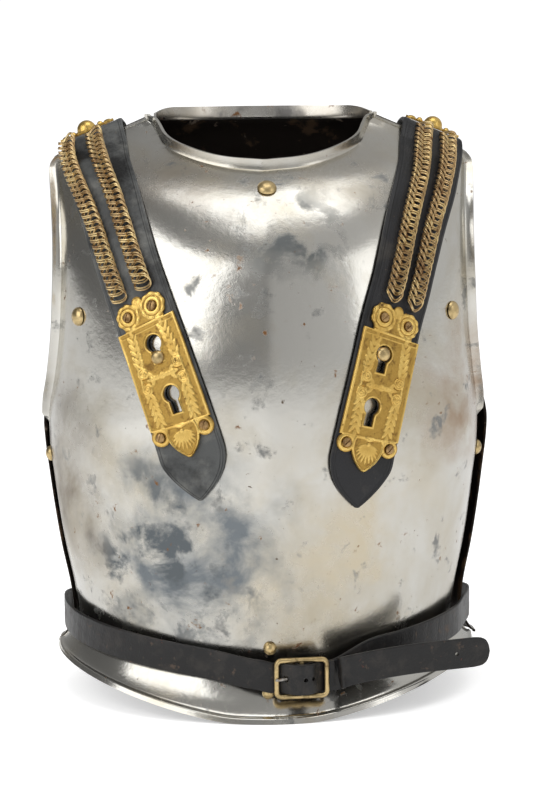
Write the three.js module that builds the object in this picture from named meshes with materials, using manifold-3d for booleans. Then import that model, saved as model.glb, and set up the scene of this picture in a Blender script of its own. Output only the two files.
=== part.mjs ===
// Heavy cavalry cuirass: a steel breastplate and backplate, two shoulder straps with brass chains and
// keyhole plates, and a waist belt in two parts with a buckle. Millimetres, +Z up, the front towards -Y.
import * as THREE from "three";
import { mergeVertices } from "three/addons/utils/BufferGeometryUtils.js";
import { TessellateModifier } from "three/addons/modifiers/TessellateModifier.js";
import Module from "manifold-3d";

const wasm = await Module();
wasm.setup();

// ---------------------------------------------------------------- driving dimensions
const GAP = 0.35; // clearance between pieces that touch
const BREAST_WALL = 2.4;
const BACK_WALL = 1.6;
const KEEL = 4; // how far the medial ridge stands out
const KEEL_REACH = 60; // how far to each side the ridge is felt
const NECK_FLANGE = 7.5; // turned-out border of the breastplate at the neck
const COLLAR_FLANGE = 9; // the same on the backplate
const NECK_TAPER = 0.5; // how much narrower the neck borders are at the shoulders
const ARM_FLANGE = 6.5; // turned-out border of the breastplate's armholes
const BACK_ARM_FLANGE = 4.5; // the same on the backplate
const ARM_END = 0.016; // how soon the armhole border ends past the shoulder line, as a part of the height
const EDGE_LIP = 0.7; // plain edge where there is no border
const RIM_BEAD = 1.5; // rolled lower edge of the skirts
const SKIRT_FLARE = 20; // how far the skirt stands out from the waist
const BACK_SKIRT_FLARE = 14.5;
const SHOULDER_Z = 422; // outer end of the shoulder line
const BACK_EDGE_Y = 5.3; // the backplate's side edges lie behind the breastplate's
const BACK_SHIFT_X = 2.2; // the backplate sits a little to one side

// Horizontal sections of the plates' outer faces: height, half width, depth, and the angle from the
// middle at which the plate ends.
const BREAST_SECTIONS = table(
  ["z", "half", "deep", "edge"],
  [
    [38, 151, 138, 90],
    [58, 150, 141, 90],
    [80, 152.4, 146, 90],
    [109, 158.4, 151.5, 90],
    [137, 163, 155, 90],
    [169, 167.2, 158.5, 90],
    [193, 170, 159.8, 90],
    [218, 170.5, 160, 90],
    [242, 168.5, 160, 80],
    [266, 167.5, 158.8, 75],
    [290, 167, 156, 72],
    [322, 167.5, 148.8, 69.5],
    [354, 167.5, 136, 68.5],
    [386, 165, 114, 72],
    [402, 162.5, 97, 77],
    [413, 161, 81, 81.5],
    [422, 159.5, 62, 84],
    [430, 141.5, 47, 83],
    [438, 122, 32, 80],
    [446, 103, 18, 74],
    [452, 94, 12, 66],
  ],
);
const BACK_SECTIONS = table(
  ["z", "half", "deep", "edge"],
  [
    [45, 156.5, 92, 90],
    [60, 156, 95, 90],
    [80, 158.5, 101, 90],
    [109, 164.5, 109.5, 90],
    [137, 169, 116, 90],
    [169, 173.2, 121, 90],
    [206, 177, 124.5, 90],
    [222, 175, 125.2, 82],
    [242, 173, 125.5, 74],
    [266, 171, 125.5, 68],
    [290, 170, 125, 64],
    [322, 169.5, 122.5, 61.5],
    [354, 168.5, 118, 61.5],
    [386, 163, 109.5, 66],
    [404, 158, 102, 74],
    [422, 154, 93, 85],
    [430, 136, 88.5, 85],
    [438, 117, 83, 85],
    [446, 97, 74, 84],
    [452, 83, 66, 84],
  ],
);
// Foot of the neck border: place across the plate, from the middle (0) to the shoulder line (1), and height.
const BREAST_NECK = table(
  ["across", "z"],
  [
    [0, 413.8],
    [0.15, 416.8],
    [0.31, 425.8],
    [0.38, 430],
    [0.54, 439],
    [0.75, 446],
    [1, 450.5],
  ],
);
const BACK_NECK = table(
  ["across", "z"],
  [
    [0, 448],
    [0.5, 448.5],
    [1, 450.5],
  ],
);
const WAIST = { middle: 38, rise: 19.5, backMiddle: 46, power: 1.15 };
const SKIRT_FOOT = { rise: 37.2, flat: 4.15, power: 1.35 }; // the lower edge rises to the sides from a flat middle

// Rows from the lower edge to the waist, as parts of the way.
const SKIRT_ROWS = [1, 0.9, 0.7, 0.45, 0.2];

// Domed brass studs: place on the breastplate, radius and height of the head.
const SHANK_RADIUS = 2;
const STUD_EASE = 0.55; // the studs' holes are this much wider all round
const STUD_SIDES = 10;
const FACE_STUDS = {
  neck_stud: { x: 1, z: 401, radius: 7.4, height: 4.6 },
  armhole_stud_left: { x: -143.5, z: 303.5, radius: 7.2, height: 4.4 },
  armhole_stud_right: { x: 143.5, z: 304.5, radius: 7.2, height: 4.4 },
  side_stud_left: { x: -169.2, z: 187, radius: 6.2, height: 4.6 },
  side_stud_right: { x: 169.2, z: 187, radius: 6.2, height: 4.6 },
  belt_guide_upper: { x: -1.5, z: 55.8, radius: 5.2, height: 5.4 },
};
const LOWER_GUIDE = { across: -0.0135, fall: 0.45, radius: 4.6, height: 5.2 }; // on the skirt, under the belt

// Shoulder straps: the centre line on the breastplate, the height of the keyhole plate's upper screws, the
// strap's point below them, and where the plate hooks over its stud, down and across from the screws.
const STRAP = { width: 52, thick: 2.8, lift: 1.6, arch: 5, overPart: 0.95, topZ: 424, tipLength: 36, tipHalf: 1.6, rows: 15 };
const SHOULDER = { halfAt: 158.6, slope: 0.413, over: [-9, 2, 13] }; // the shoulder line, and places over it
const STRAPS = {
  left: {
    side: -1,
    screwsZ: 311,
    point: 148,
    keyAcross: 1.6,
    chains: { inner: 10.2, outer: 11.4, shift: 8 },
    stud: { across: 1.6, down: 37 },
    centre: table(
      ["z", "x"],
      [
        [170, -51],
        [205, -57.7],
        [277, -81],
        [311, -93],
        [348, -106],
        [388, -118],
        [414, -127],
        [432, -131],
      ],
    ),
  },
  right: {
    side: 1,
    screwsZ: 301,
    point: 142,
    keyAcross: -4,
    chains: { inner: 8.6, outer: 10.4, shift: 0 },
    stud: { across: -5, down: 26 },
    centre: table(
      ["z", "x"],
      [
        [162, 63],
        [194, 67],
        [277, 86.5],
        [301, 92.7],
        [327, 101],
        [373, 114.5],
        [408, 127.5],
        [432, 134],
      ],
    ),
  },
};
const BACK_LANDING = { x: 130, lift: 2.6, heights: [429.5, 422, 412, 400, 388] }; // where a strap lies on the backplate
const LEATHER_ACROSS = [-1, -0.36, 0.36, 1];

const CHAIN = { width: 15, height: 6.2, sides: 8, steps: 15, from: -12, endY: -8, endLift: 1.3 };
const SCREW = { head: 3.4, height: 1.8, shank: 1.5, ease: 0.5, slot: 0.8, sides: 8 };
const BOSS = { y: 4.5, plate: 1.6, middle: 10.5, dome: 7.8, rise: 8.4, endAcross: 17.5, end: 5.2, bead: 2.4, beadAcross: 11.4 };

// Keyhole plate, along its length from the upper screws: outline, keyholes and ornament.
const PLATE = {
  thick: 2,
  half: 24.5,
  shoulder: 10.5,
  foot: 89,
  lobe: { across: 10.8, radius: 10.2 },
  bud: { down: -7.5, radius: 4.2 },
  footLobe: { across: 17.7, down: 94.5, radius: 7.2 },
  keyholes: [
    { down: 26, end: 39.8 },
    { down: 65.5, end: 80 },
  ],
  keyRadius: 6.3,
  slotHalf: 3.5,
  shield: { half: 13, from: 88, point: 114.5 },
  relief: 1.2,
};
const BRANCHES = [
  { from: 43, to: 14, across: 14.5, lean: -1, leaves: 3 },
  { from: 58, to: 87, across: 14.5, lean: 1, leaves: 3 },
];
const LEAF = { length: 8.6, half: 1.9, angle: 34 };
const VOLUTES = [
  { across: 14.4, down: 44.5 },
  { across: 15, down: 56.5 },
];

const BELT = { width: 23.2, thick: 2.6, standOff: 6.4, sideStandOff: 9.6, hole: 1.6 };
// The buckle's frame turns a little with the waist; out and along are measured in its own plane.
const BUCKLE = { x: 20, z: 34.2, width: 42.4, height: 32, bar: 2, turn: 6.5, standOff: 15.2 };
// Where the belts run through the buckle: along the belt from the middle bar, and out from its axis.
const LONG_BELT_IN_BUCKLE = [
  [-40, -8],
  [-31, -5.4],
  [-24, -4.1],
  [-18.8, -3.8],
  [-12.5, -0.3],
  [-6, 5],
  [0, 7.1],
  [6, 5],
  [12.5, -0.5],
  [18.8, -3.8],
  [23, -3.8],
  [29, -3.4],
];
const SHORT_BELT_LOOP = [
  [12, -4.5],
  [8.8, -3.7],
  [6, -0.8],
  [3.6, 2.4],
  [0, 3.95],
  [-2.8, 2.8],
  [-3.95, 0],
  [-2.8, -2.8],
  [0.5, -5.1],
  [6, -7.1],
  [14, -7.8],
  [26, -8.3],
];
const FREE_END = [
  [54, -149.8, 38.6],
  [78, -143.5, 42],
  [110, -133.5, 44.2],
  [142, -122, 44.3],
  [168.5, -111.5, 44.3],
];

const FINISH = {
  steel: { color: 0xb9b6ad, roughness: 0.32, metalness: 1 },
  darkSteel: { color: 0x8f8d88, roughness: 0.4, metalness: 1 },
  gilt: { color: 0xd9ab4b, roughness: 0.3, metalness: 1 },
  brass: { color: 0xa88a55, roughness: 0.38, metalness: 1 },
  leather: { color: 0x38383a, roughness: 0.7, metalness: 0 },
};

// ---------------------------------------------------------------- tables, curves and solids
function table(columns, rows) {
  return Object.fromEntries(columns.map((name, i) => [name, rows.map((row) => row[i])]));
}

// A smooth curve through two columns of a table: cubic pieces with slopes taken from the neighbours.
function along(data, key, name, at) {
  const xs = data[key];
  const ys = data[name];
  const last = xs.length - 1;
  let i = 0;
  while (i < last - 1 && at > xs[i + 1]) i += 1;
  const slope = (k) => {
    const before = Math.max(0, k - 1);
    const after = Math.min(last, k + 1);
    return (ys[after] - ys[before]) / (xs[after] - xs[before]);
  };
  const width = xs[i + 1] - xs[i];
  const t = (at - xs[i]) / width;
  if (t < 0) return ys[0] + slope(0) * width * t;
  if (t > 1) return ys[last] + slope(last) * width * (t - 1);
  const t2 = t * t;
  const t3 = t2 * t;
  const ends = (2 * t3 - 3 * t2 + 1) * ys[i] + (3 * t2 - 2 * t3) * ys[i + 1];
  return ends + ((t3 - 2 * t2 + t) * slope(i) + (t3 - t2) * slope(i + 1)) * width;
}

const lerp = THREE.MathUtils.lerp;
const radians = THREE.MathUtils.degToRad;
const vec = (x, y, z) => new THREE.Vector3(x, y, z);
const upright = vec(0, 0, 1);
const ramp = (low, high, value) => THREE.MathUtils.smoothstep(value, low, high);
const spaced = (count, from, to) => Array.from({ length: count + 1 }, (_, i) => lerp(from, to, i / count));

function toSolid(geometry) {
  const bare = geometry.index ? geometry.toNonIndexed() : geometry.clone();
  for (const name of Object.keys(bare.attributes)) if (name !== "position") bare.deleteAttribute(name);
  const merged = mergeVertices(bare, 1e-4);
  const vertProperties = merged.attributes.position.array;
  const triVerts = new Uint32Array(merged.index.array);
  return new wasm.Manifold(new wasm.Mesh({ numProp: 3, vertProperties, triVerts }));
}

function toGeometry(solid) {
  const mesh = solid.getMesh();
  const geometry = new THREE.BufferGeometry();
  geometry.setAttribute("position", new THREE.BufferAttribute(new Float32Array(mesh.vertProperties), 3));
  geometry.setIndex(new THREE.BufferAttribute(new Uint32Array(mesh.triVerts), 1));
  return geometry;
}

const join = (solids) => solids.reduce((sum, solid) => sum.add(solid));
const cut = (solid, tools) => tools.reduce((rest, tool) => rest.subtract(tool), solid);

// A closed wall between two grids of points, the first of which faces out.
function wallBetween(outer, inner) {
  const rows = outer.length;
  const columns = outer[0].length;
  const index = [];
  const out = (r, c) => r * columns + c;
  const inn = (r, c) => rows * columns + r * columns + c;
  const quad = (a, b, c, d) => index.push(a, b, c, a, c, d);
  for (let r = 0; r < rows - 1; r += 1)
    for (let c = 0; c < columns - 1; c += 1) {
      quad(out(r, c), out(r, c + 1), out(r + 1, c + 1), out(r + 1, c));
      quad(inn(r, c), inn(r + 1, c), inn(r + 1, c + 1), inn(r, c + 1));
    }
  for (let c = 0; c < columns - 1; c += 1) {
    quad(inn(0, c), inn(0, c + 1), out(0, c + 1), out(0, c));
    quad(out(rows - 1, c), out(rows - 1, c + 1), inn(rows - 1, c + 1), inn(rows - 1, c));
  }
  for (let r = 0; r < rows - 1; r += 1) {
    quad(inn(r + 1, 0), inn(r, 0), out(r, 0), out(r + 1, 0));
    quad(out(r + 1, columns - 1), out(r, columns - 1), inn(r, columns - 1), inn(r + 1, columns - 1));
  }
  const geometry = new THREE.BufferGeometry();
  const position = [...outer.flat(), ...inner.flat()].flatMap((point) => point.toArray());
  geometry.setAttribute("position", new THREE.Float32BufferAttribute(position, 3));
  geometry.setIndex(index);
  return geometry;
}

// A wall of even thickness under a grid of points on its outer face.
function wallUnder(outer, thickness) {
  const inside = (list, i) => list[THREE.MathUtils.clamp(i, 0, list.length - 1)];
  const inner = outer.map((row, r) =>
    row.map((point, c) => {
      const acrossWay = inside(row, c + 1).clone().sub(inside(row, c - 1));
      const upWay = inside(outer, r + 1)[c].clone().sub(inside(outer, r - 1)[c]);
      return point.clone().addScaledVector(acrossWay.cross(upWay).normalize(), -thickness);
    }),
  );
  return wallBetween(outer, inner);
}

const lathe = (profile, sides) =>
  new THREE.LatheGeometry(profile.map(([r, z]) => new THREE.Vector2(r, z)), sides).rotateX(Math.PI / 2);

function rod(radius, from, to, sides = 10) {
  const geometry = new THREE.CylinderGeometry(radius, radius, to - from, sides).rotateX(Math.PI / 2);
  return geometry.translate(0, 0, (from + to) / 2);
}

function slab(shape, from, to, curveSegments = 6) {
  const geometry = new THREE.ExtrudeGeometry(shape, { depth: to - from, bevelEnabled: false, curveSegments });
  return geometry.translate(0, 0, from);
}

// A tube of a flat or round section along a path, turned so that its second axis points out.
function tube(points, section, steps, normalAt) {
  const path = new THREE.CatmullRomCurve3(points);
  path.computeFrenetFrames = (count) => {
    const tangents = spaced(count, 0, 1).map((t) => path.getTangentAt(t));
    const outWays = spaced(count, 0, 1).map((t) => normalAt(path.getPointAt(t)));
    const normals = outWays.map((n, i) => n.clone().addScaledVector(tangents[i], -n.dot(tangents[i])).normalize());
    return { tangents, normals, binormals: normals.map((n, i) => tangents[i].clone().cross(n)) };
  };
  return new THREE.ExtrudeGeometry(section, { steps, extrudePath: path, bevelEnabled: false });
}

function ellipse(halfX, halfY, sides) {
  const corners = spaced(sides, 0, 2 * Math.PI).slice(0, sides);
  return new THREE.Shape(corners.map((a) => new THREE.Vector2(halfX * Math.cos(a), halfY * Math.sin(a))));
}

// ---------------------------------------------------------------- the plates' surfaces
const breast = {
  sections: BREAST_SECTIONS,
  facing: -1,
  shift: 0,
  neck: BREAST_NECK,
  waistMiddle: WAIST.middle,
  armFoot: 218,
  armBorder: ARM_FLANGE,
  armGrowth: 8,
  neckBorder: NECK_FLANGE,
  neckLean: { middle: 0.35, side: 0.3 },
  flare: SKIRT_FLARE,
  columns: 9,
  bodyRows: [0, 0.06, 0.15, 0.28, 0.49, 0.57, 0.65, 0.73, 0.81, 0.87, 0.972, 1],
};
const back = {
  sections: BACK_SECTIONS,
  facing: 1,
  shift: BACK_SHIFT_X,
  neck: BACK_NECK,
  waistMiddle: WAIST.backMiddle,
  armFoot: 206,
  armBorder: BACK_ARM_FLANGE,
  armGrowth: 40,
  neckBorder: COLLAR_FLANGE,
  neckLean: { middle: 0.8, side: 0.15 },
  flare: BACK_SKIRT_FLARE,
  columns: 8,
  bodyRows: [0, 0.06, 0.15, 0.28, 0.49, 0.6, 0.71, 0.8, 0.87, 0.972, 1],
};

function keelAt(x, z) {
  const near = Math.max(0, 1 - Math.abs(x) / KEEL_REACH);
  return KEEL * near * near * ramp(15, 60, z) * (1 - 0.7 * ramp(385, 415, z));
}

// A point of a plate's outer face, at an angle from the middle and a height above the waist.
function bodyPoint(plate, angle, z) {
  const half = along(plate.sections, "z", "half", z);
  const deep = along(plate.sections, "z", "deep", z);
  const x = half * Math.sin(angle);
  if (plate === back) return vec(x + plate.shift, BACK_EDGE_Y + (deep - BACK_EDGE_Y) * Math.cos(angle), z);
  return vec(x, -(deep - KEEL) * Math.cos(angle) - keelAt(x, z), z);
}

function waistHeight(plate, across) {
  const side = WAIST.middle + WAIST.rise;
  return lerp(plate.waistMiddle, side, Math.sin(radians(90 * Math.abs(across))) ** WAIST.power);
}

function footHeight(across) {
  const rise = SKIRT_FOOT.rise * Math.sin(radians(90 * Math.abs(across))) ** SKIRT_FOOT.power;
  return Math.max(0, rise - SKIRT_FOOT.flat);
}

// A point of the skirt: 0 at the waist, 1 at the lower edge.
function skirtPoint(plate, across, fall) {
  const angle = radians(90 * across);
  const point = bodyPoint(plate, angle, waistHeight(plate, across));
  const outward = vec(Math.sin(angle), plate.facing * Math.cos(angle), 0);
  const flare = plate.flare * (1 - 0.18 * Math.abs(across) ** 3) * (0.1 * fall + 0.9 * fall * fall);
  point.addScaledVector(outward, flare);
  point.z = lerp(point.z, footHeight(across), fall);
  return point;
}

// across runs from -1 to 1 over the plate, up from -1 at the lower edge over 0 at the waist to 1 at the
// foot of the neck border.
function platePoint(plate, across, up) {
  if (up < 0) return skirtPoint(plate, across, -up);
  const z = lerp(waistHeight(plate, across), along(plate.neck, "across", "z", Math.abs(across)), up);
  return bodyPoint(plate, across * radians(along(plate.sections, "z", "edge", z)), z);
}

// Directions on a plate at a place: outward, towards +X along the face, and up along the face.
function plateFrame(plate, across, up) {
  const step = 0.004;
  const acrossWay = platePoint(plate, across + step, up).sub(platePoint(plate, across - step, up)).normalize();
  const upWay = platePoint(plate, across, up + step).sub(platePoint(plate, across, up - step)).normalize();
  const normal = acrossWay.clone().cross(upWay).multiplyScalar(-plate.facing).normalize();
  return { normal, acrossWay, upWay };
}

// A border bends from along the face to out from it; each step names how far along and how far out it is.
const BORDER_STEPS = [
  { along: 0.3, out: 0.07 },
  { along: 0.52, out: 0.38 },
  { along: 0.62, out: 1 },
];

// Heights of the rows, and where along them the armhole's border begins, is full and ends.
function plateRows(plate) {
  const foot = waistHeight(plate, 1);
  const partOf = (z) => (z - foot) / (along(plate.neck, "across", "z", 1) - foot);
  const arm = { from: partOf(plate.armFoot - 8), full: partOf(plate.armFoot - 8 + plate.armGrowth) };
  arm.to = partOf(SHOULDER_Z);
  const armRows = [arm.from, partOf(plate.armFoot), arm.to, arm.to + ARM_END];
  const rows = [...SKIRT_ROWS.map((fall) => -fall), ...[...plate.bodyRows, ...armRows].sort((a, b) => a - b)];
  return { rows, arm };
}

// The plate's outer face as rows of points from the lower edge to the neck border's rim, each from the
// -X edge to the +X edge.
function plateGrid(plate) {
  const { rows, arm } = plateRows(plate);
  const columns = spaced(2 * plate.columns, -1, 1);
  const armWidth = (up) =>
    lerp(EDGE_LIP, plate.armBorder, ramp(arm.from, arm.full, up) * (1 - ramp(arm.to, arm.to + ARM_END, up)));
  const bead = (up) => RIM_BEAD * (up === -1 ? 0.4 : up === -SKIRT_ROWS[1] ? 1 : 0);
  const sidePoints = (side, up) =>
    BORDER_STEPS.map((step) => {
      const { normal, acrossWay } = plateFrame(plate, side, up);
      const outward = vec(normal.x, normal.y, 0).normalize();
      return platePoint(plate, side, up)
        .addScaledVector(acrossWay, side * step.along * armWidth(up))
        .addScaledVector(outward, step.out * armWidth(up) + bead(up));
    });
  const grid = rows.map((up) => [
    ...sidePoints(-1, up).toReversed(),
    ...columns.map((across) =>
      platePoint(plate, across, up).addScaledVector(plateFrame(plate, across, up).normal, bead(up)),
    ),
    ...sidePoints(1, up),
  ]);
  const foot = grid.at(-1);
  const spread = [-1, -1, -1, ...columns, 1, 1, 1];
  for (const [c, point] of grid[0].entries()) point.z = footHeight(spread[c]);
  for (const step of BORDER_STEPS)
    grid.push(
      foot.map((point, c) => {
        const { normal, upWay } = plateFrame(plate, spread[c], 1);
        const lean = lerp(plate.neckLean.middle, plate.neckLean.side, ramp(0.3, 1, Math.abs(spread[c])));
        const width = plate.neckBorder * (1 - NECK_TAPER * ramp(0.6, 1, Math.abs(spread[c])));
        const rise = upright.clone().addScaledVector(normal, lean).normalize();
        const climb = lerp(step.along * 0.3, 1, step.out) * width;
        return point.clone().addScaledVector(upWay, step.along * width * 0.25).addScaledVector(rise, climb);
      }),
    );
  return grid;
}

// The backplate's rows run the other way round, so that both plates' outer faces point out. The lower
// edge is level across the wall, so that the part stands on it.
function plateShell(plate, wall) {
  const grid = plateGrid(plate).map((row) => (plate === back ? row.toReversed() : row));
  const geometry = wallUnder(grid, wall);
  const position = geometry.attributes.position;
  const firstInside = position.count / 2;
  for (let c = 0; c < grid[0].length; c += 1) position.setZ(firstInside + c, position.getZ(c));
  return toSolid(geometry);
}

// ---------------------------------------------------------------- places on the plates
// The point of a plate's outer face at a given x and z, with its outward normal.
function faceAt(plate, x, z) {
  const pointAt = (px, pz) => {
    const sine = (px - plate.shift) / along(plate.sections, "z", "half", pz);
    return bodyPoint(plate, Math.asin(THREE.MathUtils.clamp(sine, -0.9995, 0.9995)), pz);
  };
  const step = 0.5;
  const xWay = pointAt(x + step, z).sub(pointAt(x - step, z));
  const zWay = pointAt(x, z + step).sub(pointAt(x, z - step));
  return { point: pointAt(x, z), normal: xWay.cross(zWay).multiplyScalar(-plate.facing).normalize() };
}

// The same at a given distance from a point of the face, in a direction that lies along the face.
function faceBeside(plate, start, direction, distance) {
  let reach = distance;
  let found = faceAt(plate, start.x, start.z);
  for (let turn = 0; turn < 3 && distance !== 0; turn += 1) {
    found = faceAt(plate, start.x + direction.x * reach, start.z + direction.z * reach);
    reach *= Math.abs(distance) / Math.max(1e-6, found.point.distanceTo(start));
  }
  return found;
}

// A matrix that stands a piece made along +Z on a point, with its own +Y turned towards a direction.
function standOn(point, normal, towards = upright) {
  const y = towards.clone().addScaledVector(normal, -towards.dot(normal)).normalize();
  return new THREE.Matrix4().makeBasis(y.clone().cross(normal), y, normal).setPosition(point);
}

// A domed head that stands over the face on its shank, which reaches below the face.
function domedHead({ radius, height }, lift, depth, shank = SHANK_RADIUS, sides = STUD_SIDES) {
  const dome = (part) => [radius * Math.cos(part), lift + height * Math.sin(part)];
  const foot = [[0, -depth], [shank, -depth], [shank, lift], [radius * 0.96, lift]];
  return lathe([...foot, dome(0.4), dome(0.95), [0, lift + height]], sides);
}

// ---------------------------------------------------------------- shoulder straps
// Points along a strap's centre line on the breastplate, measured down from the plate's upper screws.
function strapLine(strap) {
  const lowest = strap.centre.z[0] - 8;
  const heights = spaced(Math.round((STRAP.topZ - lowest) * 2), lowest, STRAP.topZ);
  const points = heights.map((z) => faceAt(breast, along(strap.centre, "z", "x", z), z).point);
  const lengths = [0];
  for (let i = 1; i < points.length; i += 1) lengths.push(lengths[i - 1] + points[i].distanceTo(points[i - 1]));
  const zero = lengths[heights.findIndex((z) => z >= strap.screwsZ)];
  const at = (down) => {
    let i = 0;
    while (i < points.length - 2 && lengths[i + 1] < zero - down) i += 1;
    return points[i].clone().lerp(points[i + 1], (zero - down - lengths[i]) / (lengths[i + 1] - lengths[i]));
  };
  return { at, top: zero - lengths.at(-1) };
}

for (const strap of Object.values(STRAPS)) strap.line = strapLine(strap);

// The breastplate's face under a place on a strap: point, normal and the direction up the strap.
function strapFace(strap, across, down) {
  const centre = strap.line.at(down);
  const upWay = strap.line.at(down - 1).sub(strap.line.at(down + 1)).normalize();
  const { normal } = faceAt(breast, centre.x, centre.z);
  const acrossWay = upWay.clone().cross(normal).normalize().multiplyScalar(Math.sign(across) || 1);
  return { ...faceBeside(breast, centre, acrossWay, Math.abs(across)), upWay };
}

// Bends what is made flat (x across, y up, z out) onto a strap, its z measured from the steel's face.
function bendOnStrap(strap, solid, longest = 24) {
  const fine = new TessellateModifier(longest, 8).modify(toGeometry(solid).toNonIndexed());
  const position = fine.attributes.position;
  for (let i = 0; i < position.count; i += 1) {
    const { point, normal } = strapFace(strap, position.getX(i), -position.getY(i));
    point.addScaledVector(normal, position.getZ(i));
    position.setXYZ(i, point.x, point.y, point.z);
  }
  return toSolid(fine);
}

const LEATHER_TOP = STRAP.lift + STRAP.thick;
const PLATE_BOTTOM = LEATHER_TOP + GAP + 0.15;
const PLATE_TOP = PLATE_BOTTOM + PLATE.thick;

function keyholeShape(keyhole, x, ease) {
  const shape = new THREE.Shape();
  const radius = PLATE.keyRadius + ease;
  const half = PLATE.slotHalf + ease;
  const start = Math.asin(half / radius);
  shape.moveTo(x - half, -keyhole.end - ease);
  shape.lineTo(x + half, -keyhole.end - ease);
  shape.absarc(x, -keyhole.down, radius, -Math.PI / 2 + start, (3 * Math.PI) / 2 - start, false);
  shape.closePath();
  return shape;
}

const screwPlaces = [
  { name: "upper_inner", across: -PLATE.lobe.across, down: 0 },
  { name: "upper_outer", across: PLATE.lobe.across, down: 0 },
  { name: "lower_inner", across: -PLATE.footLobe.across, down: PLATE.footLobe.down },
  { name: "lower_outer", across: PLATE.footLobe.across, down: PLATE.footLobe.down },
];

// A place over the shoulder: the strap stands a little over the two plates' edges there.
function overShoulder(strap, across, y) {
  const tilt = Math.atan(SHOULDER.slope);
  const x = strap.centre.x.at(-1) + across * Math.cos(tilt);
  const z = SHOULDER_Z + (SHOULDER.halfAt - Math.abs(x)) * SHOULDER.slope + STRAP.arch;
  return { point: vec(x, y, z), normal: vec(strap.side * Math.sin(tilt), 0, Math.cos(tilt)) };
}

function strapLeather(strap) {
  const { line, point } = strap;
  const halfAt = (down) => {
    const toPoint = THREE.MathUtils.clamp((down - point + STRAP.tipLength) / STRAP.tipLength, 0, 1);
    return lerp(STRAP.width / 2, STRAP.tipHalf, toPoint ** 1.9);
  };
  const tip = [1, 0.82, 0.6, 0.35, 0].map((part) => point - STRAP.tipLength * (1 - part));
  const front = [...tip, ...spaced(STRAP.rows, point - STRAP.tipLength, line.top).slice(1)];
  const rows = front.map((down) => LEATHER_ACROSS.map((part) => strapFace(strap, part * halfAt(down), down)));
  for (const y of SHOULDER.over)
    rows.push(LEATHER_ACROSS.map((part) => overShoulder(strap, (STRAP.overPart * part * STRAP.width) / 2, y)));
  let before = overShoulder(strap, 0, SHOULDER.over.at(-1)).point;
  for (const z of BACK_LANDING.heights) {
    const { point: centre, normal } = faceAt(back, strap.side * BACK_LANDING.x + BACK_SHIFT_X, z);
    const acrossWay = centre.clone().sub(before).cross(normal).normalize();
    const beside = (part) => faceBeside(back, centre, acrossWay.clone().multiplyScalar(Math.sign(part) || 1), Math.abs(part) * (STRAP.width / 2));
    rows.push(LEATHER_ACROSS.map(beside));
    for (const face of rows.at(-1)) face.point.addScaledVector(face.normal, BACK_LANDING.lift);
    before = centre;
  }
  const lifted = (height) => rows.map((row) => row.map((face) => face.point.clone().addScaledVector(face.normal, height)));
  const leather = toSolid(wallBetween(lifted(LEATHER_TOP), lifted(STRAP.lift)));
  const keyholes = PLATE.keyholes.map((keyhole) =>
    bendOnStrap(strap, toSolid(slab(keyholeShape(keyhole, strap.keyAcross, 0.5), -1, LEATHER_TOP + 1, 4)), 60),
  );
  const holes = screwPlaces.map(({ across, down }) => {
    const { point: foot, normal, upWay } = strapFace(strap, across, down);
    return toSolid(rod(SCREW.shank + SCREW.ease, -2, LEATHER_TOP + 2, 8).applyMatrix4(standOn(foot, normal, upWay)));
  });
  const boss = overShoulder(strap, (strap.side * strap.chains.shift) / 2, BOSS.y);
  const bossHole = rod(SCREW.shank + SCREW.ease, -3, LEATHER_TOP + 3, 8).applyMatrix4(standOn(boss.point, boss.normal, vec(0, 1, 0)));
  return cut(leather, [...keyholes, ...holes, toSolid(bossHole)]);
}

// A leaf that rises to a ridge, pointing along +Y from its foot.
function leafGeometry({ length, half }, rise) {
  const foot = [vec(0, 0, 0), vec(half, length * 0.4, 0), vec(0, length, 0), vec(-half, length * 0.4, 0)];
  for (const point of foot) point.z = -0.5;
  const ridge = vec(0, length * 0.45, rise);
  const corners = [foot[0], foot[2], foot[1], foot[0], foot[3], foot[2]];
  for (let i = 0; i < 4; i += 1) corners.push(foot[i], foot[(i + 1) % 4], ridge);
  const geometry = new THREE.BufferGeometry();
  const position = corners.flatMap((point) => point.toArray());
  return geometry.setAttribute("position", new THREE.Float32BufferAttribute(position, 3));
}

// The laurel branches: pairs of leaves along a stem, and one at its tip.
function laurel(top) {
  const leaves = [];
  for (const { from, to, across, lean, leaves: pairs } of BRANCHES)
    for (const side of [-1, 1])
      for (let i = 0; i <= pairs; i += 1) {
        const down = lerp(from, to, i / pairs);
        const turns = i === pairs ? [0] : [-LEAF.angle, LEAF.angle];
        for (const turn of turns) {
          const leaf = leafGeometry(LEAF, PLATE.relief).rotateZ(radians(turn + (lean > 0 ? 180 : 0)));
          leaves.push(toSolid(leaf.translate(side * (across - 1.4 * (i / pairs)), -down, top)));
        }
      }
  return leaves;
}

function shieldShape(inset) {
  const { half, from, point } = PLATE.shield;
  const wide = half - inset;
  const shape = new THREE.Shape();
  shape.moveTo(0, -(point - inset * 1.3));
  shape.quadraticCurveTo(wide * 0.75, -(point - inset - 4), wide, -(from + 14));
  shape.quadraticCurveTo(wide * 1.08, -(from + 3 + inset), wide * 0.55, -(from + inset));
  shape.lineTo(0, -(from + 1.5 + inset));
  shape.lineTo(-wide * 0.55, -(from + inset));
  shape.quadraticCurveTo(-wide * 1.08, -(from + 3 + inset), -wide, -(from + 14));
  shape.quadraticCurveTo(-wide * 0.75, -(point - inset - 4), 0, -(point - inset * 1.3));
  return shape;
}

function rectangle(left, bottom, right, top) {
  const corners = [[left, bottom], [right, bottom], [right, top], [left, top]];
  return new THREE.Shape(corners.map(([x, y]) => new THREE.Vector2(x, y)));
}

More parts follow.
